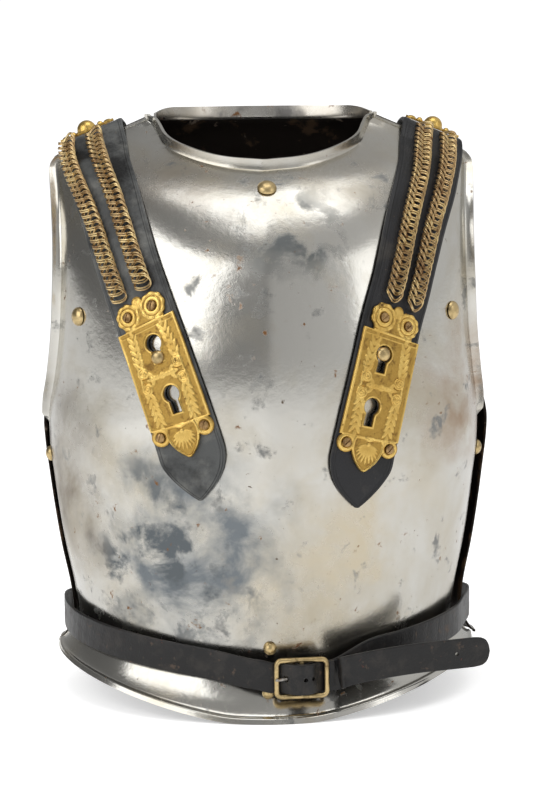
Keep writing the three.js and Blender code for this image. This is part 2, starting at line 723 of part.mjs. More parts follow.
// The plate is one casting: its outline, raised borders, rings round the screws, laurels, scrolls and shield.
function keyholePlate(strap) {
  const bottom = PLATE_BOTTOM;
  const top = PLATE_TOP;
  const { half, shoulder, foot, lobe, bud, footLobe, shield, relief } = PLATE;
  const disc = (radius, x, down, sides = 18) =>
    toSolid(rod(radius, bottom, top, sides).translate(x, -down, 0));
  const ring = (radius, wire, x, down, sides = 12) => {
    const profile = [[radius - wire, -0.5], [radius + wire, -0.5], [radius, wire], [radius - wire, -0.5]];
    return toSolid(lathe(profile, sides).translate(x, -down, top));
  };
  const bar = (left, low, right, high, rise) => toSolid(slab(rectangle(left, -low, right, -high), bottom + 1, top + rise));
  const base = [
    toSolid(slab(rectangle(-half, -foot, half, -shoulder), bottom, top)),
    toSolid(slab(rectangle(-lobe.across - 6, -shoulder - 1, lobe.across + 6, 2), bottom, top)),
    toSolid(slab(shieldShape(0), bottom, top, 5)),
    toSolid(slab(rectangle(-half + 1.5, -foot - 4, half - 1.5, -foot + 1), bottom, top)),
    disc(bud.radius, 0, bud.down, 12),
  ];
  for (const side of [-1, 1]) {
    base.push(disc(lobe.radius, side * lobe.across, 0));
    base.push(disc(footLobe.radius, side * footLobe.across, footLobe.down, 14));
  }
  const raised = [
    bar(-half, shoulder + 1.2, half, shoulder - 0.6, 1),
    bar(-half, shoulder + 4.6, half, shoulder + 3.8, 0.6),
    bar(-half, foot, half, foot - 1, 0.8),
    bar(-9, 51.4, 9, 49.4, 1.1),
  ];
  for (const side of [-1, 1]) {
    const edges = [side * half, side * (half - 1.5)].sort((a, b) => a - b);
    raised.push(bar(edges[0], foot, edges[1], shoulder, 0.7));
    raised.push(ring(6.4, 1, side * lobe.across, 0, 14));
    raised.push(ring(5.2, 1, side * footLobe.across, footLobe.down));
    for (const volute of VOLUTES) raised.push(ring(2.7, 0.9, side * volute.across, volute.down, 10));
  }
  const rim = cut(toSolid(slab(shieldShape(0), bottom + 1, top + relief, 5)), [
    toSolid(slab(shieldShape(1.8), bottom, top + relief + 1, 5)),
  ]);
  const ribs = spaced(6, -66, 66).map((turn) =>
    toSolid(leafGeometry({ length: 12, half: 1.3 }, relief * 0.8).rotateZ(radians(180 + turn)).translate(0, -shield.from - 5.5, top)),
  );
  const cuts = PLATE.keyholes.map((keyhole) => toSolid(slab(keyholeShape(keyhole, strap.keyAcross, 0), bottom - 1, top + 3, 4)));
  for (const { across, down } of screwPlaces)
    cuts.push(toSolid(rod(SCREW.shank + SCREW.ease, bottom - 1, top + 3, 8).translate(across, -down, 0)));
  return bendOnStrap(strap, cut(join([...base, ...raised, rim, ...ribs, ...laurel(top)]), cuts));
}

function slottedScrew() {
  const lift = PLATE_TOP + GAP;
  const { head, height, shank, slot, sides } = SCREW;
  const profile = [[0, STRAP.lift], [shank, STRAP.lift], [shank, lift], [head, lift]];
  const domed = [[head, lift + height * 0.5], [head * 0.6, lift + height * 0.9], [0, lift + height]];
  const body = toSolid(lathe([...profile, ...domed], sides));
  const groove = new THREE.BoxGeometry(2 * head + 1, slot, height).translate(0, 0, lift + height * 1.05);
  return cut(body, [toSolid(groove.rotateZ(radians(55)))]);
}

function chainTube(strap, place) {
  const across = strap.chains[place] * (place === "outer" ? strap.side : -strap.side);
  const half = CHAIN.height / 2;
  const height = LEATHER_TOP + GAP + half;
  const section = ellipse(half, CHAIN.width / 2, CHAIN.sides);
  const places = spaced(CHAIN.steps - 1, CHAIN.from, strap.line.top).map((down) => {
    const shift = strap.side * strap.chains.shift * (down / strap.line.top) ** 2;
    return strapFace(strap, across + shift, down);
  });
  places.push(overShoulder(strap, across + strap.side * strap.chains.shift, CHAIN.endY));
  const points = places.map(({ point, normal }, i) =>
    point.clone().addScaledVector(normal, height + CHAIN.endLift * ramp(CHAIN.steps - 4, CHAIN.steps, i)),
  );
  const nearest = (at) => places.reduce((best, place, i) => (points[i].distanceTo(at) < best.far ? { far: points[i].distanceTo(at), normal: place.normal } : best), { far: Infinity });
  return tube(points, section, CHAIN.steps, (at) => nearest(at).normal.clone());
}

function shoulderBoss() {
  const { plate, middle, dome, rise, endAcross, end, bead, beadAcross } = BOSS;
  const disc = (radius, x) => toSolid(rod(radius, 0, plate, radius > dome ? 14 : 8).translate(x, 0, 0));
  const knob = (radius, height, x) => toSolid(domedHead({ radius, height }, plate - 0.3, -0.6, radius * 0.5, radius > dome / 2 ? 12 : 6).translate(x, 0, 0));
  const solids = [disc(middle, 0), toSolid(slab(rectangle(-endAcross, -3.4, endAcross, 3.4), 0, plate))];
  for (const side of [-1, 1]) {
    solids.push(disc(end, side * endAcross));
    solids.push(knob(bead, bead * 1.1, side * beadAcross));
    solids.push(knob(end * 0.62, 2.2, side * endAcross));
  }
  solids.push(knob(dome, rise, 0));
  solids.push(toSolid(rod(SCREW.shank, -GAP - STRAP.thick, plate / 2, 8)));
  return join(solids);
}

// ---------------------------------------------------------------- waist belt
// A place on the waist, standing off the breastplate's face.
function waistPlace(across, plate = breast, standOff = lerp(BELT.standOff, BELT.sideStandOff, ramp(0.25, 0.8, Math.abs(across)))) {
  const z = waistHeight(plate, across);
  const angle = radians(90 * across);
  const outward = vec(Math.sin(angle), plate.facing * Math.cos(angle), 0);
  return bodyPoint(plate, angle, z).addScaledVector(outward, standOff);
}

const buckleAcross = Math.asin(BUCKLE.x / BREAST_SECTIONS.half[0]) / (Math.PI / 2);
const buckleTurn = radians(BUCKLE.turn);
const buckleFrame = {
  centre: waistPlace(buckleAcross, breast, BUCKLE.standOff).setZ(BUCKLE.z),
  alongWay: vec(Math.cos(buckleTurn), Math.sin(buckleTurn), 0),
  outWay: vec(Math.sin(buckleTurn), -Math.cos(buckleTurn), 0),
};
const inBuckle = ([along, out]) =>
  buckleFrame.centre.clone().addScaledVector(buckleFrame.alongWay, along).addScaledVector(buckleFrame.outWay, out);

// A band that keeps its height upright along a path, with points for its middle and its half width.
function band(points, count, halfAt) {
  const path = new THREE.CatmullRomCurve3(points, false, "centripetal");
  const rows = { outer: [], inner: [] };
  for (const t of spaced(count, 0, 1)) {
    const middle = path.getPoint(t);
    const tangent = path.getTangent(t);
    const height = upright.clone().addScaledVector(tangent, -tangent.z).normalize();
    const outward = tangent.clone().cross(height);
    const edge = (side, face) =>
      middle.clone().addScaledVector(height, side * halfAt(t)).addScaledVector(outward, (face * BELT.thick) / 2);
    rows.outer.push([edge(1, 1), edge(-1, 1)]);
    rows.inner.push([edge(1, -1), edge(-1, -1)]);
  }
  return { solid: toSolid(wallBetween(rows.outer, rows.inner)), path };
}

const BACK_FLANK = { left: -0.72, right: 0.72 };

function beltHole(point, radius, length = 14) {
  return toSolid(rod(radius, -length / 2, length / 2, 8).rotateX(Math.PI / 2).translate(point.x, point.y, point.z));
}

function buckleBox(width, depth, height, place) {
  const turn = new THREE.Matrix4().makeRotationZ(buckleTurn);
  return new THREE.BoxGeometry(width, depth, height).applyMatrix4(turn.setPosition(inBuckle(place)));
}

function longBelt() {
  const onBack = [BACK_FLANK.left, -0.86].map((across) => waistPlace(across, back));
  const corner = vec(-161, 6, 58);
  const front = [-0.9, -0.76, -0.6, -0.45, -0.32, -0.2].map((across) => waistPlace(across));
  const through = LONG_BELT_IN_BUCKLE.map(inBuckle);
  const free = FREE_END.map(([x, y, z]) => vec(x, y, z));
  through[0].z += 3.8;
  through[1].z += 2.4;
  through[2].z += 0.5;
  through.at(-1).z += 0.8;
  const points = [...onBack, corner, ...front, ...through, ...free];
  const halfAt = (t) => (BELT.width / 2) * (t > 0.985 ? 0.72 : 1);
  const { solid } = band(points, 46, halfAt);
  const punched = [1.5, 9.5].map((along) => beltHole(inBuckle([along, 6]).setZ(BUCKLE.z), BELT.hole));
  const tongueHole = toSolid(buckleBox(7.5, 14, 4.6, [-12, 1]));
  const farHole = beltHole(vec(142, -122, 44.3), BELT.hole);
  return cut(solid, [...punched, tongueHole, farHole]);
}

function shortBelt() {
  const loop = SHORT_BELT_LOOP.map(inBuckle);
  const onFront = [0.33, 0.45, 0.6, 0.76, 0.9].map((across) => waistPlace(across));
  const corner = vec(165, 8, 58.5);
  const onBack = [0.86, BACK_FLANK.right].map((across) => waistPlace(across, back));
  const { solid } = band([...loop, ...onFront, corner, ...onBack], 46, () => BELT.width / 2);
  return cut(solid, [toSolid(buckleBox(12, 22, 6.4, [0, 0]))]);
}

// The frame's own x runs along the belt, y up and z out.
const buckleMatrix = standOn(buckleFrame.centre, buckleFrame.outWay);

function buckleFrameSolid() {
  const { width, height, bar } = BUCKLE;
  const post = (x, y, length, upwards) => {
    const geometry = new THREE.CylinderGeometry(bar, bar, length, 6);
    if (!upwards) geometry.rotateZ(Math.PI / 2);
    return toSolid(geometry.translate(x, y, 0));
  };
  const [x, y] = [width / 2 - bar, height / 2 - bar];
  const solids = [-x, 0, x].map((at) => post(at, 0, height - 1, true));
  for (const side of [-1, 1]) solids.push(post(0, side * y, width - 1, false));
  for (const sx of [-1, 1])
    for (const sy of [-1, 1]) solids.push(toSolid(new THREE.IcosahedronGeometry(bar * 1.35, 0).translate(sx * x, sy * y, 0)));
  return toSolid(toGeometry(join(solids)).applyMatrix4(buckleMatrix));
}

function buckleTongue() {
  const { width, bar } = BUCKLE;
  const eye = new THREE.TorusGeometry(bar + GAP + 1.2, 1.2, 6, 12).rotateX(Math.PI / 2);
  const tip = vec(-width / 2 + bar - 1.4, 0, bar + GAP + 1.25);
  const points = [vec(-3.6, 0, 0), vec(-8, 0, 0), vec(-12.5, 0, 1.3), vec(-16, 0, 2.8), tip];
  const arm = tube(points, ellipse(1, 1.4, 6), 6, () => vec(0, 0, 1));
  return toSolid(toGeometry(join([toSolid(eye), toSolid(arm)])).applyMatrix4(buckleMatrix));
}

// ---------------------------------------------------------------- the assembly
const root = new THREE.Group();
root.name = "cuirass";

function addMesh(name, shape, finish, matrix) {
  const geometry = shape instanceof THREE.BufferGeometry ? shape : toGeometry(shape);
  const mesh = new THREE.Mesh(geometry, new THREE.MeshStandardMaterial(FINISH[finish]));
  mesh.name = name;
  if (matrix) mesh.applyMatrix4(matrix);
  root.add(mesh);
  return mesh;
}

const breastHoles = [];
for (const [name, stud] of Object.entries(FACE_STUDS)) {
  const { point, normal } = faceAt(breast, stud.x, stud.z);
  const matrix = standOn(point, normal);
  addMesh(name, domedHead(stud, GAP, BREAST_WALL + 0.6), "brass", matrix);
  breastHoles.push(rod(SHANK_RADIUS + STUD_EASE, -8, 4, 8).applyMatrix4(matrix));
}
{
  const point = platePoint(breast, LOWER_GUIDE.across, -LOWER_GUIDE.fall);
  const matrix = standOn(point, plateFrame(breast, LOWER_GUIDE.across, -LOWER_GUIDE.fall).normal);
  addMesh("belt_guide_lower", domedHead(LOWER_GUIDE, 2 * GAP, BREAST_WALL + 0.6), "brass", matrix);
  breastHoles.push(rod(SHANK_RADIUS + STUD_EASE, -8, 4, 8).applyMatrix4(matrix));
}

for (const [name, strap] of Object.entries(STRAPS)) {
  addMesh(`strap_leather_${name}`, strapLeather(strap), "leather");
  addMesh(`keyhole_plate_${name}`, keyholePlate(strap), "gilt");
  for (const { name: place, across, down } of screwPlaces) {
    const { point, normal, upWay } = strapFace(strap, across, down);
    addMesh(`plate_screw_${name}_${place}`, slottedScrew(), "brass", standOn(point, normal, upWay));
  }
  const { point, normal, upWay } = strapFace(strap, strap.stud.across, strap.stud.down);
  const matrix = standOn(point, normal, upWay);
  addMesh(`strap_stud_${name}`, domedHead({ radius: 5.4, height: 4 }, PLATE_TOP + GAP, BREAST_WALL + 0.6), "brass", matrix);
  breastHoles.push(rod(SHANK_RADIUS + STUD_EASE, -8, 4, 8).applyMatrix4(matrix));
  for (const place of ["inner", "outer"]) addMesh(`chain_${name}_${place}`, chainTube(strap, place), "brass");
}

addMesh("breastplate", cut(plateShell(breast, BREAST_WALL), breastHoles.map(toSolid)), "steel");
addMesh("backplate", plateShell(back, BACK_WALL), "darkSteel");
addMesh("belt_long", longBelt(), "leather");
addMesh("belt_short", shortBelt(), "leather");
addMesh("buckle_frame", buckleFrameSolid(), "brass");
addMesh("buckle_tongue", buckleTongue(), "steel");

for (const [name, strap] of Object.entries(STRAPS)) {
  const { point, normal } = overShoulder(strap, (strap.side * strap.chains.shift) / 2, BOSS.y);
  const matrix = standOn(point.addScaledVector(normal, LEATHER_TOP + GAP), normal, vec(0, 1, 0));
  addMesh(`shoulder_boss_${name}`, shoulderBoss(), "gilt", matrix);
}

// The part stands on z = 0 with the middle of its outline over the origin.
root.updateMatrixWorld(true);
const bounds = new THREE.Box3().setFromObject(root, true);
const middle = bounds.getCenter(new THREE.Vector3());
root.position.set(-middle.x, -middle.y, -bounds.min.z);

export default root;
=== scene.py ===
import math

import bpy
import numpy as np
from mathutils import Matrix, Vector


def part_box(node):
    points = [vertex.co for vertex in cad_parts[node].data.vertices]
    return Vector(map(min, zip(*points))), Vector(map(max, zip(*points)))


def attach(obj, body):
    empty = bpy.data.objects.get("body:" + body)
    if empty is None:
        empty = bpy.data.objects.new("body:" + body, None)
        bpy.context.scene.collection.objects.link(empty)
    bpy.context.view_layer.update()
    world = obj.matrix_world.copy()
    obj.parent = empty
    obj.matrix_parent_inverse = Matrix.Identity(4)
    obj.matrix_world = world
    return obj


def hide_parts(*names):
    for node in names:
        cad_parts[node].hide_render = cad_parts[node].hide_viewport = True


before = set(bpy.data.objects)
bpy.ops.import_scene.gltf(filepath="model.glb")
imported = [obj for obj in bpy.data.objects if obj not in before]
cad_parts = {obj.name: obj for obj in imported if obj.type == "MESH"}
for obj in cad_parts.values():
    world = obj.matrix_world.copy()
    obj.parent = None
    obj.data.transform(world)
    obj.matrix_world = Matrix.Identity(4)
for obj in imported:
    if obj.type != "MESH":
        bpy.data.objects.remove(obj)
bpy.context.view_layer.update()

MM = 0.001
rng = np.random.default_rng(7)


# ---------------------------------------------------------------- curves and small helpers
def radians(degrees):
    return np.radians(degrees)


def ramp(low, high, value):
    """0 below low, 1 above high, smooth between."""
    t = np.clip((np.asarray(value, float) - low) / (high - low), 0, 1)
    return t * t * (3 - 2 * t)


def unit(v):
    return v / np.maximum(np.linalg.norm(v, axis=-1, keepdims=True), 1e-12)


def ridge(distance, width):
    """1 where a distance is zero, falling away smoothly over a width."""
    return np.exp(-((distance / width) ** 2))


def bump(distance, width):
    """1 where a distance is zero, rounded down to 0 at a width."""
    return np.sqrt(np.clip(1 - (distance / width) ** 2, 0, 1))


def circle(sides):
    return np.linspace(0, 2 * np.pi, sides, endpoint=False)


def columns_at(at, run, rows):
    """Rows of points given at measures along a path, read at other measures."""
    return np.stack([np.interp(at, run, rows[:, k]) for k in range(3)], -1)


def smooth_curve(points, soften=0.0):
    """A smooth function through (x, y) points, straight beyond its ends, softened over a distance."""
    xs, ys = (np.array(c, float) for c in zip(*points))
    slopes = np.empty_like(xs)
    slopes[1:-1] = (ys[2:] - ys[:-2]) / (xs[2:] - xs[:-2])
    slopes[0] = (ys[1] - ys[0]) / (xs[1] - xs[0])
    slopes[-1] = (ys[-1] - ys[-2]) / (xs[-1] - xs[-2])
    span = xs[-1] - xs[0]
    grid = np.linspace(xs[0] - span * 0.2, xs[-1] + span * 0.2, 1401)
    k = np.clip(np.searchsorted(xs, grid) - 1, 0, len(xs) - 2)
    w = xs[k + 1] - xs[k]
    t = (grid - xs[k]) / w
    h = (2 * t**3 - 3 * t**2 + 1) * ys[k] + (3 * t**2 - 2 * t**3) * ys[k + 1]
    h += ((t**3 - 2 * t**2 + t) * slopes[k] + (t**3 - t**2) * slopes[k + 1]) * w
    h = np.where(grid < xs[0], ys[0] + slopes[0] * (grid - xs[0]), h)
    h = np.where(grid > xs[-1], ys[-1] + slopes[-1] * (grid - xs[-1]), h)
    if soften:
        step = grid[1] - grid[0]
        reach = int(3 * soften / step) + 1
        kernel = np.exp(-0.5 * (np.arange(-reach, reach + 1) * step / soften) ** 2)
        before, after = np.arange(-reach, 0), np.arange(1, reach + 1)
        padded = np.concatenate([h[0] + (h[1] - h[0]) * before, h, h[-1] + (h[-1] - h[-2]) * after])
        h = np.convolve(padded, kernel / kernel.sum(), "valid")
    return lambda at: np.interp(at, grid, h)


# ---------------------------------------------------------------- the plates' surfaces, maker's frame, in mm
UPRIGHT = np.array([0, 0, 1.0])
KEEL = dict(height=4.0, reach=60.0, starts=(15, 60), fades=(385, 415), faded=0.7)
WAIST = dict(middle=38.0, rise=19.5, back_middle=46.0, power=1.15)
SKIRT_FOOT = dict(rise=37.2, flat=4.15, power=1.35, softness=2.0)
SKIRT_FLARE = dict(less_at_side=0.18, straight=0.1, curved=0.9)
BACK_EDGE_Y, BACK_SHIFT_X = 5.3, 2.2
SHOULDER_Z = 422.0


def sections(rows, soften=5.0):
    """Horizontal sections: height, half width, depth, and the angle from the middle where the plate ends."""
    columns = (("half", 1), ("deep", 2), ("edge", 3))
    return {name: smooth_curve([(r[0], r[i]) for r in rows], soften) for name, i in columns}


breast = dict(
    facing=-1, shift=0.0, waist=WAIST["middle"], arm_foot=218, arm_border=6.5, arm_growth=8, neck_border=7.5,
    lean=(0.35, 0.3), flare=20.0, wall=2.4,
    **sections([
        (38, 151, 138, 90), (58, 150, 141, 90), (80, 152.4, 146, 90), (109, 158.4, 151.5, 90),
        (137, 163, 155, 90), (169, 167.2, 158.5, 90), (193, 170, 159.8, 90), (218, 170.5, 160, 90),
        (242, 168.5, 160, 80), (266, 167.5, 158.8, 75), (290, 167, 156, 72), (322, 167.5, 148.8, 69.5),
        (354, 167.5, 136, 68.5), (386, 165, 114, 72), (402, 162.5, 97, 77), (413, 161, 81, 81.5), (422, 159.5, 62, 84),
        (430, 141.5, 47, 83), (438, 122, 32, 80), (446, 103, 18, 74), (452, 94, 12, 66)]),
    neck=smooth_curve([(0, 413.8), (0.15, 416.8), (0.31, 425.8), (0.38, 430), (0.54, 439), (0.75, 446),
                       (1, 450.5)], 0.02),
)
back = dict(
    facing=1, shift=BACK_SHIFT_X, waist=WAIST["back_middle"], arm_foot=206, arm_border=4.5, arm_growth=40,
    neck_border=9.0, lean=(0.8, 0.15), flare=14.5, wall=1.6,
    **sections([
        (45, 156.5, 92, 90), (60, 156, 95, 90), (80, 158.5, 101, 90), (109, 164.5, 109.5, 90),
        (137, 169, 116, 90), (169, 173.2, 121, 90), (206, 177, 124.5, 90), (222, 175, 125.2, 82),
        (242, 173, 125.5, 74), (266, 171, 125.5, 68), (290, 170, 125, 64), (322, 169.5, 122.5, 61.5),
        (354, 168.5, 118, 61.5), (386, 163, 109.5, 66), (404, 158, 102, 74), (422, 154, 93, 85), (430, 136, 88.5, 85),
        (438, 117, 83, 85), (446, 97, 74, 84), (452, 83, 66, 84)]),
    neck=smooth_curve([(0, 448), (0.5, 448.5), (1, 450.5)], 0.02),
)


def keel_at(x, z):
    near = np.clip(1 - np.abs(x) / KEEL["reach"], 0, 1)
    return KEEL["height"] * near**2 * ramp(*KEEL["starts"], z) * (1 - KEEL["faded"] * ramp(*KEEL["fades"], z))


def body_point(plate, angle, z):
    """A point of a plate's outer face, at an angle from the middle and a height over the floor."""
    half, deep = plate["half"](z), plate["deep"](z)
    x = half * np.sin(angle)
    if plate is back:
        y = BACK_EDGE_Y + (deep - BACK_EDGE_Y) * np.cos(angle)
    else:
        y = -(deep - KEEL["height"]) * np.cos(angle) - keel_at(x, z)
    return np.stack(np.broadcast_arrays(x + plate["shift"], y, z), -1)


def waist_height(plate, across):
    side = WAIST["middle"] + WAIST["rise"]
    return plate["waist"] + (side - plate["waist"]) * np.sin(radians(90 * np.abs(across))) ** WAIST["power"]


def foot_height(across):
    flat, softness = SKIRT_FOOT["flat"], SKIRT_FOOT["softness"]
    lift = SKIRT_FOOT["rise"] * np.sin(radians(90 * np.abs(across))) ** SKIRT_FOOT["power"] - flat
    softened = (lift + np.sqrt(lift**2 + softness)) / 2
    return softened - (math.sqrt(flat**2 + softness) - flat) / 2


def skirt_point(plate, across, fall):
    """A point of the skirt; fall runs from 0 at the waist to 1 at the lower edge."""
    angle = radians(90 * across)
    point = body_point(plate, angle, waist_height(plate, across))
    outward = np.stack(np.broadcast_arrays(np.sin(angle), plate["facing"] * np.cos(angle), 0 * fall), -1)
    flare = plate["flare"] * (1 - SKIRT_FLARE["less_at_side"] * np.abs(across) ** 3)
    flare = flare * (SKIRT_FLARE["straight"] * fall + SKIRT_FLARE["curved"] * fall**2)
    point = point + outward * flare[..., None]
    point[..., 2] += (foot_height(across) - point[..., 2]) * fall
    return point


def plate_point(plate, across, up):
    """across runs from -1 to 1, up from -1 at the lower edge over 0 at the waist to 1 at the neck."""
    across, up = np.broadcast_arrays(np.asarray(across, float), np.asarray(up, float))
    foot = waist_height(plate, across)
    z = foot + (plate["neck"](np.abs(across)) - foot) * np.maximum(up, 0)
    body = body_point(plate, across * radians(plate["edge"](z)), z)
    return np.where((up < 0)[..., None], skirt_point(plate, across, np.maximum(-up, 0)), body)


def plate_frame(plate, across, up):
    """The outward normal of a plate's face, and its ways across and up."""
    step = 0.004
    across_way = unit(plate_point(plate, across + step, up) - plate_point(plate, across - step, up))
    up_way = unit(plate_point(plate, across, up + step) - plate_point(plate, across, up - step))
    return unit(np.cross(across_way, up_way) * -plate["facing"]), across_way, up_way


def face_at(plate, x, z):
    """The point of a plate's outer face at x and z, with its outward normal."""
    furthest = 0.9995

    def point_at(px, pz):
        sine = np.clip((px - plate["shift"]) / plate["half"](pz), -furthest, furthest)
        return body_point(plate, np.arcsin(sine), pz)

    x, z = np.broadcast_arrays(np.asarray(x, float), np.asarray(z, float))
    step = 0.5
    x_way = point_at(x + step, z) - point_at(x - step, z)
    z_way = point_at(x, z + step) - point_at(x, z - step)
    return point_at(x, z), unit(np.cross(x_way, z_way) * -plate["facing"])


def face_beside(plate, start, direction, distance):
    """Points of the face at a distance from others, in directions that lie along the face."""
    reach = np.asarray(distance, float) + 0 * start[..., 0]
    for _ in range(4):
        x, z = (start[..., k] + direction[..., k] * reach for k in (0, 2))
        point, normal = face_at(plate, x, z)
        far = np.linalg.norm(point - start, axis=-1)
        reach = reach * np.abs(distance) / np.maximum(far, 1e-6)
    return point, normal


# ---------------------------------------------------------------- meshes
SHARP_ANGLE = 42


def new_object(verts, faces, node, material):
    """A mesh in mm in the maker's frame becomes a piece in metres in the part's frame."""
    name = node + "_finished"
    mesh = bpy.data.meshes.new(name)
    verts = np.asarray(verts)
    places = (verts[:, :3] + SHIFT) * MM
    mesh.from_pydata([tuple(v) for v in places], [], [tuple(int(i) for i in f) for f in faces])
    if verts.shape[1] > 3:
        relief = mesh.attributes.new("relief", "FLOAT", "POINT")
        relief.data.foreach_set("value", verts[:, 3].astype(np.float32))
    obj = bpy.data.objects.new(name, mesh)
    bpy.context.scene.collection.objects.link(obj)
    mesh.polygons.foreach_set("use_smooth", [True] * len(mesh.polygons))
    mesh.set_sharp_from_angle(angle=radians(SHARP_ANGLE))
    mesh.materials.append(material)
    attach(obj, "root")
    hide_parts(node)
    return obj


def grid_faces(rows, columns, first=0, closed=False, flip=False):
    """Quads between the points of a grid, whose last column meets its first where it is closed."""
    last = columns if closed else columns - 1
    r, c = np.meshgrid(np.arange(rows - 1), np.arange(last), indexing="ij")
    r, c = r.ravel(), c.ravel()
    n = (c + 1) % columns
    low, high = r * columns, (r + 1) * columns
    quads = np.stack([low + c, low + n, high + n, high + c], 1) + first
    return quads[:, ::-1] if flip else quads


def slab_mesh(outer, inner):
    """A closed wall between two grids of points, the first facing out."""
    rows, columns = outer.shape[:2]
    count = rows * columns
    faces = [grid_faces(rows, columns), grid_faces(rows, columns, count, flip=True)]
    bottom = list(range(columns))
    right = [r * columns + columns - 1 for r in range(1, rows)]
    top = [(rows - 1) * columns + c for c in range(columns - 2, -1, -1)]
    left = [r * columns for r in range(rows - 2, 0, -1)]
    loop = np.array(bottom + right + top + left)
    nxt = np.roll(loop, -1)
    faces.append(np.stack([loop + count, nxt + count, nxt, loop], 1))
    return np.concatenate([outer.reshape(count, -1), inner.reshape(count, -1)]), np.concatenate(faces)


def grid_normals(grid):
    across_way = np.gradient(grid, axis=1)
    up_way = np.gradient(grid, axis=0)
    return unit(np.cross(across_way, up_way))


# ---------------------------------------------------------------- the steel plates
BORDER = (smooth_curve([(0, 0), (1, 0.3), (2, 0.52), (3, 0.62)]),
          smooth_curve([(0, 0), (1, 0.07), (2, 0.38), (3, 1)]))
BORDER_ROWS = 7
PLATE_COLUMNS = 136
RIM_BEAD = dict(height=1.5, at=0.93, width=0.045)
ARM_EDGE = dict(lead=8, end=0.016, least=0.7)
NECK_EDGE = dict(along=0.25, rise=0.3, narrower_at_side=0.5)
EDGE_BEVEL = dict(width=0.6, segments=2, angle=50)


def border_step(t):
    """How far along the face and how far out of it a border is, t from 0 at its foot to 1 at its rim."""
    return BORDER[0](3 * t), np.maximum(BORDER[1](3 * t), 0)


def plate_rows(plate):
    """Rows up a plate, closer at its bead, arm edge and shoulder, with the arm edge's width at each."""
    foot, top = waist_height(plate, 1.0), plate["neck"](1.0)

    def part_of(z):
        return (z - foot) / (top - foot)

    arm_foot = plate["arm_foot"] - ARM_EDGE["lead"]
    arm_from, arm_full = part_of(arm_foot), part_of(arm_foot + plate["arm_growth"])
    arm_to = part_of(SHOULDER_Z)
    skirt = -np.unique(np.concatenate([np.linspace(0, 0.78, 20), np.linspace(0.78, 1, 16)]))[::-1]
    body = np.unique(np.concatenate([
        np.linspace(0, 1, 120), np.linspace(arm_from, arm_full + 0.01, 14),
        np.linspace(arm_to - 0.02, min(arm_to + 2 * ARM_EDGE["end"], 1), 12)]))
    up = np.concatenate([skirt, body[1:]])
    wider = (plate["arm_border"] - ARM_EDGE["least"]) * ramp(arm_from, arm_full, up)
    return up, ARM_EDGE["least"] + wider * (1 - ramp(arm_to, arm_to + ARM_EDGE["end"], up))


def plate_grid(plate):
    """A plate's outer face with its turned edges, row by row from the lower edge to the neck."""
    up, arm_width = plate_rows(plate)
    across = np.linspace(-1, 1, PLATE_COLUMNS)
    bead = RIM_BEAD["height"] * ridge(up + RIM_BEAD["at"], RIM_BEAD["width"]) * (up < 0)
    mid = plate_point(plate, across[None], up[:, None])
    normal, _, _ = plate_frame(plate, across[None], up[:, None])
    mid = mid + normal * bead[:, None, None]
    steps = np.linspace(1, 0, BORDER_ROWS, endpoint=False)
    along, out = border_step(steps)
    sides = []
    for side in (-1, 1):
        at = plate_point(plate, float(side), up)
        normal, across_way, _ = plate_frame(plate, side + 0 * up, up)
        outward = unit(normal * np.array([1, 1, 0]))
        reach = side * along[None, :, None] * arm_width[:, None, None]
        rise = out[None, :, None] * arm_width[:, None, None] + bead[:, None, None]
        sides.append(at[:, None] + across_way[:, None] * reach + outward[:, None] * rise)
    grid = np.concatenate([sides[0], mid, sides[1][:, ::-1]], 1)
    spread = np.concatenate([-np.ones(BORDER_ROWS), across, np.ones(BORDER_ROWS)])
    grid[0, :, 2] = foot_height(spread)
    normal, _, up_way = plate_frame(plate, spread, 1.0)
    at_middle, at_side = plate["lean"]
    lean = at_middle + (at_side - at_middle) * ramp(0.3, 1, np.abs(spread))
    width = plate["neck_border"] * (1 - NECK_EDGE["narrower_at_side"] * ramp(0.6, 1, np.abs(spread)))
    rise_way = unit(UPRIGHT + normal * lean[:, None])
    rows = []
    for step in steps[::-1]:
        along, out = border_step(step)
        up_the_face = up_way * (along * width * NECK_EDGE["along"])[:, None]
        turned_out = rise_way * ((along * NECK_EDGE["rise"] * (1 - out) + out) * width)[:, None]
        rows.append(grid[-1] + up_the_face + turned_out)
    return np.concatenate([grid, np.array(rows)])


def make_plate(name, plate, material):
    grid = plate_grid(plate)
    if plate is back:
        grid = grid[:, ::-1]
    inner = grid - grid_normals(grid) * plate["wall"]
    inner[0, :, 2] = grid[0, :, 2]
    polished = np.zeros(grid.shape[:2])
    polished[-BORDER_ROWS:] = 1
    verts, faces = slab_mesh(with_relief(grid, 1.0), with_relief(inner, polished))
    bevel = new_object(verts, faces, name, material).modifiers.new("edge", "BEVEL")
    bevel.width, bevel.segments = EDGE_BEVEL["width"] * MM, EDGE_BEVEL["segments"]
    bevel.limit_method, bevel.angle_limit = "ANGLE", radians(EDGE_BEVEL["angle"])


def find_shift():
    """The part's frame is the maker's frame moved; the plates' own boxes say how far."""
    low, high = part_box("backplate")
    grid = plate_grid(back)
    x = (low.x + high.x) / 2 / MM - (grid[..., 0].min() + grid[..., 0].max()) / 2
    y = high.y / MM - grid[..., 1].max()
    return np.array([x, y, 0.0])


SHIFT = find_shift()


def unit_place(point, normal, towards):
    """Turns coordinates across, up and out of a small piece into places; up points towards a direction."""
    up = unit(towards - normal * (towards @ normal))
    across = np.cross(up, normal)
    return lambda x, y, z: point + x[..., None] * across + y[..., None] * up + z[..., None] * normal


